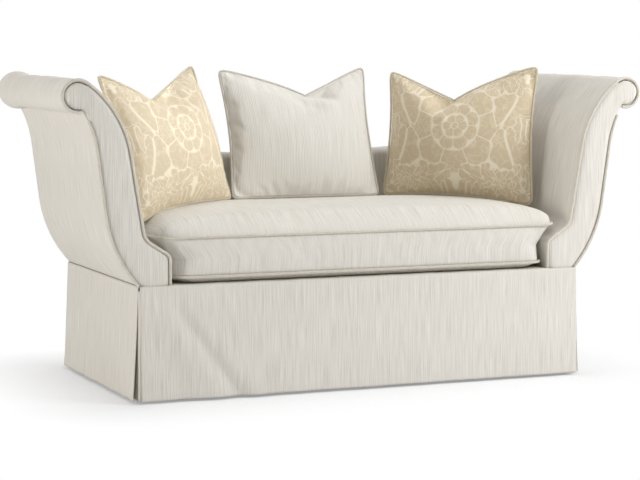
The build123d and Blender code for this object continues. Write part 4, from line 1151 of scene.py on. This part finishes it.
def corner_pleats():
    """The bent underlays behind the skirt's four split corners."""
    x, y = BASE_HALF + PLEAT_OUT, BACK_OUT_Y + PLEAT_OUT
    corner = [(x - PLEAT_LEG, y), (x - PLEAT_CORNER, y), (x, y - PLEAT_CORNER), (x, y - PLEAT_LEG)]
    bend = spread(np.array(corner), PLEAT_COLUMNS)
    z = np.linspace(PLEAT_TOP_Z, HEM_Z, PLEAT_ROWS)
    far = run_lengths(bend)
    points, faces, cloth = [], [], []
    for sx, sy in ((1, 1), (-1, 1), (-1, -1), (1, -1)):
        grid = np.stack(np.broadcast_arrays(sx * bend[None, :, 0], sy * bend[None, :, 1], z[:, None]), -1)
        turned = facing_faces(grid, quads(PLEAT_ROWS, PLEAT_COLUMNS), (0, sy, 0))
        faces.append(turned + len(points) * PLEAT_ROWS * PLEAT_COLUMNS)
        points.append(grid.reshape(-1, 3))
        cloth.append(np.stack(np.broadcast_arrays(far[None, :], z[:, None]), -1).reshape(-1, 2))
    mesh = cloth_mesh("corner_pleats", np.vstack(points), np.vstack(faces), np.vstack(cloth))
    obj = add_piece("corner_pleats", mesh, "settee_frame", "ivory_rib", "skirt_pleats")
    thicken(obj, PLEAT_CLOTH)


# Deck and underside
def deck():
    """The deck's cloth, drawn down a little over the springs."""
    y = np.concatenate([DECK_FRONT_ROWS, DECK_MAIN_ROWS])[:, None]
    share = np.linspace(-1, 1, DECK_COLUMNS)[None, :]
    x = share * np.where(y < DECK_FEET_Y, DECK_HALF_FRONT, DECK_HALF)
    z = DECK_TOP_Z - DECK_DIP * (0.5 + 0.5 * np.cos(2 * pi * x / SPRING_SPACING))
    points = np.stack(np.broadcast_arrays(x, y, z), -1)
    cloth = points[..., :2]
    obj = grid_piece("deck_top_cloth", points, cloth, (0, 0, 1), "deck_cloth", "deck_cover", DECK_CLOTH)


def under_cloth():
    """The black cloth under the rails, cut out round the legs and sagging a little."""
    cuts_x = [x + s * half for x, _, half in LEG_CUTS for s in (-1, 1)]
    cuts_y = [y + s * half for _, y, half in LEG_CUTS for s in (-1, 1)]
    xs = np.unique(np.concatenate([np.linspace(-UNDER_HALF_X, UNDER_HALF_X, 90), cuts_x]))
    ys = np.unique(np.concatenate([np.linspace(-UNDER_HALF_Y, UNDER_HALF_Y, 46), cuts_y]))
    x, y = np.meshgrid(xs, ys)
    z = UNDER_Z - UNDER_SAG * (1 - (x / UNDER_HALF_X) ** 2) * (1 - (y / UNDER_HALF_Y) ** 2)
    points = np.stack([x, y, z], -1)
    faces = facing_faces(points, quads(len(ys), len(xs)), (0, 0, -1))
    middle = points.reshape(-1, 3)[faces].mean(1)
    keep = np.ones(len(faces), bool)
    for leg_x, leg_y, half in LEG_CUTS:
        keep &= ~((np.abs(middle[:, 0] - leg_x) < half) & (np.abs(middle[:, 1] - leg_y) < half))
    mesh = cloth_mesh("under_cloth", points, faces[keep], points[..., :2])
    obj = add_piece("under_cloth", mesh, "settee_frame", "black_cambric", "dust_cover")
    thicken(obj, UNDER_CLOTH)


def under_staples():
    """The staples that hold the under cloth to the rails."""
    y, z, end_x = STAPLE_LONG_Y, STAPLE_Z, STAPLE_END_X
    near, far = STAPLE_LONG_RUN
    runs = [([(-far, s * y, z), (-near, s * y, z)], False) for s in (-1, 1)]
    runs += [([(near, s * y, z), (far, s * y, z)], False) for s in (-1, 1)]
    runs += [([(s * end_x, -STAPLE_END_HALF, z), (s * end_x, STAPLE_END_HALF, z)], False) for s in (-1, 1)]
    path = path_mesh("staple_path", *runs)
    values = {"Spacing": STAPLE_SPACING, "Staple": STAPLE_SIZE, "Steel": FINISHES["zinc_steel"]}
    grown("under_cloth_staples", path, staple_tree(), values, "settee_frame", "zinc_steel")


# Bench cushion
def rounded(a, b, half_x, half_y, corner):
    """Maps a square's points to a rectangle with rounded corners."""
    x, y = a * half_x, b * half_y
    p = np.maximum(np.abs(x) - half_x + corner, 0) / corner
    q = np.maximum(np.abs(y) - half_y + corner, 0) / corner
    x = np.where(p > 0, np.sign(x) * (half_x - corner + corner * p * np.sqrt(1 - q * q / 2)), x)
    y = np.where(q > 0, np.sign(y) * (half_y - corner + corner * q * np.sqrt(1 - p * p / 2)), y)
    return x, y


def crown_rise(a, b):
    """Height of the cushion's crown, from 0 at the welt to 1."""
    long = np.sqrt(np.clip(1 - np.abs(a) ** 6, 0, 1))
    short = np.sqrt(np.clip(1 - np.abs(b) ** 3.2, 0, 1))
    return 1 / ((np.maximum(long, 1e-4) ** -4 + np.maximum(short, 1e-4) ** -4) ** 0.25)


def fill_cover(obj, held, pressure, slack, cap):
    """Fills a sewn cover by simulation: its seams stay, the rest swells by no more than a cap."""
    count = len(obj.data.vertices)
    before = np.zeros(count * 3, np.float32)
    obj.data.vertices.foreach_get("co", before)
    group = obj.vertex_groups.new(name="seams")
    group.add(held, 1.0, "REPLACE")
    filling = obj.modifiers.new("filling", "CLOTH")
    cloth = filling.settings
    for setting, value in COVER_CLOTH.items():
        setattr(cloth, setting, value)
    cloth.uniform_pressure_force = pressure
    cloth.vertex_group_mass = "seams"
    cloth.shrink_min = -slack
    cloth.effector_weights.gravity = 0
    filling.collision_settings.use_collision = False
    filling.point_cache.frame_start = 1
    filling.point_cache.frame_end = FILL_FRAMES
    for moment in range(1, FILL_FRAMES + 1):
        scene.frame_set(moment)
    found = obj.evaluated_get(bpy.context.evaluated_depsgraph_get())
    after = np.zeros(count * 3, np.float32)
    found.data.vertices.foreach_get("co", after)
    obj.modifiers.remove(filling)
    obj.vertex_groups.remove(group)
    scene.frame_set(1)
    move = (after - before).reshape(-1, 3)
    size = np.linalg.norm(move, axis=1, keepdims=True)
    move = move * np.minimum(1, cap * MM / np.maximum(size, 1e-9))
    obj.data.vertices.foreach_set("co", (before.reshape(-1, 3) + move).ravel())
    obj.data.update()


def soften(obj):
    """One round of subdivision, for soft cloth."""
    smooth = obj.modifiers.new("soft_cloth", "SUBSURF")
    smooth.levels = smooth.render_levels = 1


def cushion_rings(rim_a, rim_b):
    """The cushion's rings of points below its top welt: down the boxing, then in under it."""
    heights = (CUSHION_LOW_WELT_Z, CUSHION_WAIST_Z, CUSHION_TOP_WELT_Z)
    widths = (CUSHION_HALF_LOW, CUSHION_HALF_WAIST, CUSHION_HALF_TOP)
    depths = (CUSHION_HALF_DEEP, CUSHION_HALF_DEEP - BOXING_DRAW, CUSHION_HALF_DEEP)
    sizes = []
    for k in range(1, BOXING_RINGS + 1):
        z = CUSHION_TOP_WELT_Z - k * BOXING_STEP
        sizes.append((z, np.interp(z, heights, widths), np.interp(z, heights, depths)))
    for drop in UNDER_DROPS:
        under = drop / (CUSHION_LOW_WELT_Z - CUSHION_UNDER_Z) * UNDER_TUCK
        sizes.append((CUSHION_LOW_WELT_Z - drop, CUSHION_HALF_LOW - under, CUSHION_HALF_DEEP - under))
    rings = []
    for z, half_x, half_y in sizes:
        x, y = rounded(rim_a, rim_b, half_x, half_y, CUSHION_CORNER)
        rings.append(np.stack([x, y, np.full(len(x), z)], -1))
    return rings


def cushion_mesh(a, b):
    """The cushion's closed mesh before filling, and the points that its seams and underside hold."""
    top_x, top_y = rounded(a, b, CUSHION_HALF_TOP, CUSHION_HALF_DEEP, CUSHION_CORNER)
    top_z = CUSHION_TOP_WELT_Z + CUSHION_UNFILLED * CUSHION_CROWN * crown_rise(a, b)
    top_z[0] = top_z[-1] = CUSHION_TOP_WELT_Z
    top_z[:, 0] = top_z[:, -1] = CUSHION_TOP_WELT_Z
    top = np.stack([top_x, top_y, top_z], -1).reshape(-1, 3)
    boxing = cushion_rings(rim_order(a), rim_order(b))
    low_x, low_y = rounded(a, b, CUSHION_HALF_UNDER, CUSHION_HALF_DEEP - UNDER_TUCK, CUSHION_CORNER)
    under = np.stack([low_x, low_y, np.full(a.shape, CUSHION_UNDER_Z)], -1).reshape(-1, 3)
    points = np.vstack([top, *boxing, under]) + np.array([0, CUSHION_MID_Y, 0])
    grid = np.arange(a.size).reshape(a.shape)
    rim = rim_order(grid)
    turns = len(rim)
    under_first = a.size + turns * len(boxing)
    under_grid = under_first + grid
    rings = [a.size + k * turns + np.arange(turns) for k in range(len(boxing))]
    rings = [rim, *rings, rim_order(under_grid)]
    faces = [quads(*a.shape)]
    cloth = [points[faces[0].ravel()][:, :2]]
    far = run_lengths(np.vstack([points[rim], points[rim][:1]]))
    lengths = np.stack([far[:-1], far[:-1], far[1:], far[1:]], -1)
    for upper, lower in zip(rings[:-1], rings[1:]):
        faces.append(np.stack([upper, lower, np.roll(lower, -1), np.roll(upper, -1)], -1))
        high, low = points[upper[0], 2], points[lower[0], 2]
        rise = np.broadcast_to(np.array([high, low, low, high]), lengths.shape)
        cloth.append(np.stack([lengths, rise], -1).reshape(-1, 2))
    under_faces = quads(*a.shape, under_first)[:, ::-1]
    faces.append(under_faces)
    cloth.append(points[under_faces.ravel()][:, :2])
    mesh = cloth_mesh("bench_cushion", points, np.vstack(faces), np.vstack(cloth))
    held = np.concatenate([rim, rings[BOXING_RINGS], rings[-1], under_grid.ravel()])
    return mesh, np.unique(held).tolist()


def bench_cushion():
    """The boxed cushion: a crowned top and boxing between two welts, filled by simulation, then its zip."""
    a, b = np.meshgrid(np.linspace(-1, 1, CUSHION_COLUMNS + 1), np.linspace(-1, 1, CUSHION_ROWS + 1))
    mesh, held = cushion_mesh(a, b)
    nodes = ("seat_cushion_cover", "seat_cushion_core")
    obj = add_piece("bench_cushion", mesh, "seat_cushion", "ivory_rib", *nodes)
    fill_cover(obj, held, pressure=4.0, slack=0.012, cap=9.0)
    place = mesh_points(mesh)
    place[:, 2] = np.maximum(place[:, 2], CUSHION_UNDER_Z)
    limit = CUSHION_TOP_WELT_Z + CUSHION_CROWN * crown_rise(a, b).ravel()
    on_top = place[: limit.size]
    on_top[:, 2] = np.minimum(on_top[:, 2], limit)
    set_points(mesh, place)
    soften(obj)
    cushion_welts(rim_order(a), rim_order(b))
    cushion_zip()


def cushion_welts(rim_a, rim_b):
    """The welts round the top and the bottom of the cushion's boxing."""
    half_y, corner = CUSHION_HALF_DEEP + WELT_RADIUS, CUSHION_CORNER + WELT_RADIUS
    loops = []
    for z, half in ((CUSHION_TOP_WELT_Z, CUSHION_HALF_TOP), (CUSHION_LOW_WELT_Z, CUSHION_HALF_LOW)):
        x, y = rounded(rim_a, rim_b, half + WELT_RADIUS, half_y, corner)
        loops.append((np.stack([x, y + CUSHION_MID_Y, np.full(len(x), z)], -1), True))
    name, node = "bench_cushion_welt_cords", "seat_cushion_welts"
    add_welt(name, loops, WELT_RADIUS, "seat_cushion", "ivory_welt", node)


def cushion_zip():
    """The zip in the back of the cushion's boxing: its tape and two rows of teeth."""
    long = np.linspace(-ZIP_HALF, ZIP_HALF, ZIP_COLUMNS)
    wide = np.linspace(-ZIP_TAPE_HALF, ZIP_TAPE_HALF, ZIP_ROWS)
    along, up = np.meshgrid(long, wide)
    tape = np.stack([along, np.full(along.shape, ZIP_Y), CUSHION_WAIST_Z + up], -1)
    faces = facing_faces(tape, quads(ZIP_ROWS, ZIP_COLUMNS), (0, 1, 0))
    mesh = cloth_mesh("zip_tape", tape, faces, np.stack([along, up], -1))
    start = (0.5 * ZIP_PITCH - ZIP_HALF, ZIP_Y + ZIP_TOOTH_OUT, CUSHION_WAIST_Z + ZIP_TOOTH_UP)
    values = {
        "Teeth": ZIP_TEETH,
        "Start": tuple(s * MM for s in start),
        "Pitch": (ZIP_PITCH * MM, 0, 0),
        "Stagger": ZIP_STAGGER,
        "Tooth": ZIP_TOOTH,
        "Nylon": FINISHES["zip_nylon"],
    }
    grown("bench_cushion_zip", mesh, zip_tree(), values, "seat_cushion", "zip_nylon", "seat_cushion_zip")


# Pillows
def pillow_matrix(centre, yaw, lean, tilt):
    """A pillow's mid plane: turned about the vertical, leant back, then tilted in its own plane."""
    turn, back, roll = radians(yaw), radians(lean), radians(tilt)
    across = Vector((cos(turn), sin(turn), 0))
    ahead = Vector((sin(turn), -cos(turn), 0))
    up = Vector((0, 0, cos(back))) - ahead * sin(back)
    out = ahead * cos(back) + Vector((0, 0, sin(back)))
    x_way = across * cos(roll) + up * sin(roll)
    y_way = out.cross(x_way)
    turned = Matrix((x_way, y_way, out)).transposed().to_4x4()
    return Matrix.Translation(Vector(centre)) @ turned


def pillow_full(x, y, half, chop):
    """Half the pillow's thickness at a place on its mid plane."""
    share = np.clip(np.abs(x) / (half + 2), 0, 1)
    edge = 0.5 * PILLOW_EDGE
    full = np.maximum(edge + 1, 0.5 * PILLOW_FULL * (1 - share ** 2) ** PILLOW_CROWN_POWER)
    top = PILLOW_EAR_HIGH + 2 - chop * (1 - share)
    low = -PILLOW_LOW - 2
    chord, rise = 0.5 * (top - low), full - edge
    radius = (chord ** 2 + rise ** 2) / (2 * rise)
    off = y - 0.5 * (top + low)
    return np.sqrt(np.maximum(radius ** 2 - off ** 2, 0)) - radius + rise + edge


def pillow_top_edge(name, x, half, chop):
    """The top edge's height: two ears and a dip between them, its rolled side swelling up from the dip."""
    dip_x, deeper, ears, rolled, _, _ = PILLOW_CHOPS[name]
    left = x < dip_x
    share = np.where(left, (dip_x - x) / (half + dip_x), (x - dip_x) / (half - dip_x))
    share = np.sqrt(np.clip(share, 0, 1) ** 2 + 0.0012)
    swell = np.where(left == (rolled > 0), 0.72, 1.0)
    ear = PILLOW_EAR_HIGH - np.where(left, *ears)
    dip = PILLOW_EAR_HIGH - chop - deeper
    return dip + (ear - dip) * share ** swell


def chop_fold(name, face, half, chop):
    """Depth of the fold that runs from the dip into the face: one side rolls over, the ear falls behind."""
    dip_x, _, _, rolled, heading, length = PILLOW_CHOPS[name]
    way = np.array([cos(radians(heading)), sin(radians(heading))])
    dip_y = pillow_top_edge(name, np.array([dip_x]), half, chop)[0]
    far = face[:, :2] - np.array([dip_x, dip_y])
    along = far @ way
    over = rolled * (far[:, 1] * way[0] - far[:, 0] * way[1])
    depth = CHOP_FOLD * np.where(over > 0, np.exp(-over / CHOP_FADE), np.exp(over / CHOP_LIP))
    depth = depth - CHOP_ROLL * np.exp(-((over + CHOP_ROLL_OFF) / CHOP_ROLL_WIDE) ** 2)
    return depth * ease((length - along) / (0.6 * length)) * ease((along + CHOP_LEAD_IN) / CHOP_LEAD_IN)


def cushion_top(place):
    """Height of the bench cushion under places in millimetres."""
    a = np.clip(place[:, 0] / CUSHION_HALF_TOP, -1, 1)
    b = np.clip((place[:, 1] - CUSHION_MID_Y) / CUSHION_HALF_DEEP, -1, 1)
    return CUSHION_TOP_WELT_Z + CUSHION_CROWN * crown_rise(a, b)


def settle(place, local, rim_across, gap):
    """Lowers a pillow's foot onto the cushion, most at its bottom edge, and flattens it where it rests."""
    drop = np.interp(local[:, 0], rim_across, gap)
    drop = drop * ease((PILLOW_SETTLE_Y - local[:, 1]) / PILLOW_SETTLE_HIGH)
    lowered = place - np.array([0, 0, 1.0]) * drop[:, None]
    rest = cushion_top(lowered) + PILLOW_REST_GAP
    near = (lowered[:, 2] < rest) & (local[:, 1] < PILLOW_FLAT_Y)
    lowered[near, 2] = rest[near]
    return lowered


def closer_at_ends(count):
    """Places from -1 to 1, closer together towards both ends."""
    return np.sin(np.linspace(-1, 1, count + 1) * 1.35) / np.sin(1.35)


def pillow_outline(name, half, chop):
    """A grid over the pillow's mid plane, drawn in at sides and corners, and how far in each point is."""
    a, b = np.meshgrid(closer_at_ends(PILLOW_COLUMNS), closer_at_ends(PILLOW_ROWS))
    middle = 0.5 * (PILLOW_EAR_HIGH - PILLOW_LOW)
    x = a * half
    for _ in range(8):
        top = pillow_top_edge(name, x, half, chop)
        y = -PILLOW_LOW + 0.5 * (b + 1) * (top + PILLOW_LOW)
        side = half - PILLOW_SIDE_DRAW * (1 - np.clip((y - middle) / PILLOW_LOW, -1, 1) ** 2)
        x = a * side
    corner = np.minimum(np.abs(a), np.abs(b)) ** 14
    x = x - PILLOW_CORNER_IN * np.sign(a) * corner
    y = y - PILLOW_CORNER_DOWN * np.sign(b) * corner
    inside = np.minimum((1 - np.abs(a)) * half, (1 + b) * PILLOW_LOW)
    return x, y, np.minimum(inside, (1 - b) * 0.5 * (top + PILLOW_LOW))


def pillow_rise(x, y, inside, half, chop, seed):
    """How far the front and the back stand off the mid plane before filling, with pulls towards the ears."""
    knife = np.sqrt(1 - np.exp(-inside / PILLOW_KNIFE))
    side_far = (np.abs(x) - half) / PILLOW_EAR_REACH
    top_far = (y - PILLOW_EAR_HIGH) / PILLOW_EAR_REACH
    ears = np.exp(-side_far ** 2 - top_far ** 2)
    turn = np.arctan2(y - 180, np.abs(x) - 230) * 120
    reach = np.hypot(y - 180, np.abs(x) - 230) * 0.12
    pull = 1.8 * uneven(turn, reach, seed, 46, 29) * np.exp(-np.hypot(y - 190, np.abs(x) - 235) / 130)
    roof = np.maximum(pillow_full(x, y, half, chop), 3.0)
    rise = roof * knife * (0.95 - 0.16 * ears) + pull * knife * 0.8
    sag = 0.9 * uneven(x, y, seed + 1, 210, 120)
    return np.clip(rise + sag * knife, 0, None), np.clip(rise * 0.98 - sag * knife, 0, None)


def pillow_mesh(name, x, y, front, back):
    """A front and a back sewn together round their rim: the mesh, and the numbers of the front's points."""
    grid = np.arange(x.size).reshape(x.shape)
    off_rim = np.zeros(x.shape, bool)
    off_rim[1:-1, 1:-1] = True
    front_points = np.stack([x, y, np.where(off_rim, front, 0.0)], -1).reshape(-1, 3)
    back_points = np.stack([x, y, -back], -1)[off_rim]
    points = np.vstack([front_points, back_points])
    back_grid = grid.copy()
    back_grid[off_rim] = grid.size + np.arange(len(back_points))
    faces = quads(*x.shape)
    every = np.vstack([faces, back_grid.ravel()[faces][:, ::-1]])
    return cloth_mesh(f"{name}_pillow", points, every, points[every.ravel()][:, :2]), grid


def pillow_cord(body, x, y, lay, slot):
    """The welt round a pillow's knife edge, laid with the pillow."""
    rim = np.stack([rim_order(x), rim_order(y)], -1)
    way = np.roll(rim, -1, 0) - np.roll(rim, 1, 0)
    out = np.stack([way[:, 1], -way[:, 0]], -1) / np.linalg.norm(way, axis=1)[:, None]
    cord = np.column_stack([rim + (PILLOW_WELT_RADIUS - 0.4) * out, np.zeros(len(rim))])
    laid = lay(cord)
    rest = cushion_top(laid) + PILLOW_WELT_RADIUS + 0.6
    laid[:, 2] = np.where(cord[:, 1] < -100, np.maximum(laid[:, 2], rest), laid[:, 2])
    add_welt(f"{body}_cord", [(laid, True)], PILLOW_WELT_RADIUS, body, slot, f"{body}_welt")


def pillow(name, seed, slot, welt_slot):
    """A loose pillow: eared corners, a dip pressed into its top edge, knife edges, filled by simulation."""
    centre, yaw, lean, tilt, half, chop = PILLOWS[name]
    body = f"{name}_pillow"
    x, y, inside = pillow_outline(name, half, chop)
    mesh, grid = pillow_mesh(name, x, y, *pillow_rise(x, y, inside, half, chop, seed))
    obj = add_piece(f"{name}_throw_pillow", mesh, body, slot, f"{body}_cover", f"{body}_insert")
    fill_cover(obj, rim_order(grid).tolist(), pressure=5.0, slack=0.022, cap=12.0)
    found = mesh_points(mesh)
    limit = np.maximum(pillow_full(found[:, 0], found[:, 1], half, chop) - 0.2, 2.0)
    found[:, 2] = np.clip(found[:, 2], -limit, limit)
    face = found[: grid.size]
    face[:, 2] = np.maximum(face[:, 2] - chop_fold(name, face, half, chop), 0.12 * face[:, 2])
    turned = pillow_matrix(centre, yaw, lean, tilt)
    spin, shift = np.array(turned.to_3x3()), np.array(turned.translation)
    foot = (found @ spin.T + shift)[grid[0]]
    gap = foot[:, 2] - cushion_top(foot) - 2 * PILLOW_WELT_RADIUS - 1.0
    gap = np.pad(np.clip(gap, 0, PILLOW_GAP_LIMIT), PILLOW_GAP_WINDOW // 2, mode="edge")
    gap = np.convolve(gap, np.ones(PILLOW_GAP_WINDOW) / PILLOW_GAP_WINDOW, "valid")
    rim_across = found[grid[0], 0]

    def lay(points):
        return settle(points @ spin.T + shift, points, rim_across, gap)

    set_points(mesh, lay(found))
    soften(obj)
    pillow_cord(body, x, y, lay, welt_slot)


# Studio, in metres: a white floor and surround, and lamps
FLOOR_HALF = 40.0
FLOOR_COLOUR = (0.93, 0.935, 0.945, 1)
WHITE = (1, 1, 1, 1)
FLOOR_WHITE_AT_SKIRT = 0.30
FLOOR_WHITE_PER_METRE = 2.0
SURROUND_LIGHT = 0.4
SETTEE_MIDDLE = (0, 0, 0.45)
LEFT_PILLOW_MIDDLE = (-0.52, 0.0, 0.74)
# Lamps: name, place, aim, size, beam in degrees, watts, colour
LAMPS = (
    ("right_lamp", (2.4, -2.3, 2.2), SETTEE_MIDDLE, 1.6, 180, 80.0, (0.985, 0.99, 1.0)),
    ("top_lamp", (0.2, 0.9, 4.4), SETTEE_MIDDLE, 3.0, 180, 60.0, (1.0, 1.0, 1.0)),
    ("left_lamp", (-4.8, -0.9, 0.9), SETTEE_MIDDLE, 1.6, 180, 72.0, (1.0, 0.965, 0.91)),
    ("pillow_lamp", (2.1, -2.2, 2.0), LEFT_PILLOW_MIDDLE, 0.3, 15, 0.36, (0.92, 0.97, 1.0)),
)


def seen_straight(tree):
    """1 on rays from the camera, from a reflection or through glass, and 0 on rays that only carry light."""
    ray = tree.nodes.new("ShaderNodeLightPath").outputs
    direct = calc(tree, "MAXIMUM", ray["Is Camera Ray"], ray["Is Glossy Ray"])
    return calc(tree, "MAXIMUM", direct, ray["Is Transmission Ray"])


def floor_finish():
    """Matt white that holds the shadow by the settee and goes over to plain white away from it."""
    material = bpy.data.materials.new("studio_white")
    material.use_nodes = True
    tree = material.node_tree
    tree.nodes.clear()
    matt = put(tree, "ShaderNodeBsdfDiffuse", {"Color": FLOOR_COLOUR}).outputs[0]
    white = put(tree, "ShaderNodeEmission", {"Color": WHITE, "Strength": 1.0}).outputs[0]
    place = axes(tree, object_place(tree))
    beyond = []
    for axis, reach in (("X", BASE_HALF * MM), ("Y", BACK_OUT_Y * MM)):
        past = calc(tree, "SUBTRACT", calc(tree, "ABSOLUTE", place[axis]), reach)
        beyond.append(calc(tree, "POWER", calc(tree, "MAXIMUM", past, 0.0), 2.0))
    far = calc(tree, "SQRT", calc(tree, "ADD", *beyond))
    share = calc(tree, "MULTIPLY_ADD", far, FLOOR_WHITE_PER_METRE, FLOOR_WHITE_AT_SKIRT, clamp=True)
    share = calc(tree, "MULTIPLY", seen_straight(tree), share)
    mixed = put(tree, "ShaderNodeMixShader", {0: share, 1: matt, 2: white}).outputs[0]
    put(tree, "ShaderNodeOutputMaterial", {"Surface": mixed})
    return material


def studio_floor():
    """A white floor that keeps the settee's shadow."""
    mesh = bpy.data.meshes.new("studio_floor")
    corners = [(sx * FLOOR_HALF, sy * FLOOR_HALF, 0) for sx, sy in ((-1, -1), (1, -1), (1, 1), (-1, 1))]
    mesh.from_pydata(corners, [], [(0, 1, 2, 3)])
    mesh.materials.append(floor_finish())
    floor = bpy.data.objects.new("studio_floor", mesh)
    scene.collection.objects.link(floor)


def studio_surround():
    """A surround that shows as white and gives a soft light."""
    world = bpy.data.worlds.new("studio_surround")
    scene.world = world
    world.use_nodes = True
    tree = world.node_tree
    tree.nodes.clear()
    level = calc(tree, "MULTIPLY_ADD", seen_straight(tree), 1 - SURROUND_LIGHT, SURROUND_LIGHT)
    sky = put(tree, "ShaderNodeBackground", {"Color": WHITE, "Strength": level}).outputs[0]
    put(tree, "ShaderNodeOutputWorld", {"Surface": sky})


def studio_lamps():
    """Soft lamps at the right, above and at the left, and a narrow one on the left pillow."""
    for name, place, aim, size, beam, power, colour in LAMPS:
        lamp = bpy.data.lights.new(name, "AREA")
        lamp.size = size
        lamp.spread = radians(beam)
        lamp.energy = power
        lamp.color = colour
        held = bpy.data.objects.new(name, lamp)
        ahead = Vector(aim) - Vector(place)
        turned = ahead.to_track_quat("-Z", "Y").to_matrix().to_4x4()
        held.matrix_world = Matrix.Translation(place) @ turned
        scene.collection.objects.link(held)


def studio():
    """The floor, the surround and the lamps, with colours shown as they are written."""
    studio_floor()
    studio_surround()
    studio_lamps()
    scene.view_settings.view_transform = "Standard"


place_camera()
studio()
finish_cad_nodes()
for side, sign in (("right", 1), ("left", -1)):
    arm_inside(side, sign)
    arm_outside(side, sign)
    arm_end_panel(side, sign, "front")
    arm_end_panel(side, sign, "back")
    arm_welt(side, sign)
back_inside()
back_outside()
skirt()
corner_pleats()
deck()
under_cloth()
under_staples()
bench_cushion()
pillow("left", 41, "gold_damask", "gold_welt")
pillow("middle", 51, "ivory_pillow_rib", "ivory_welt")
pillow("right", 61, "gold_damask", "gold_welt")
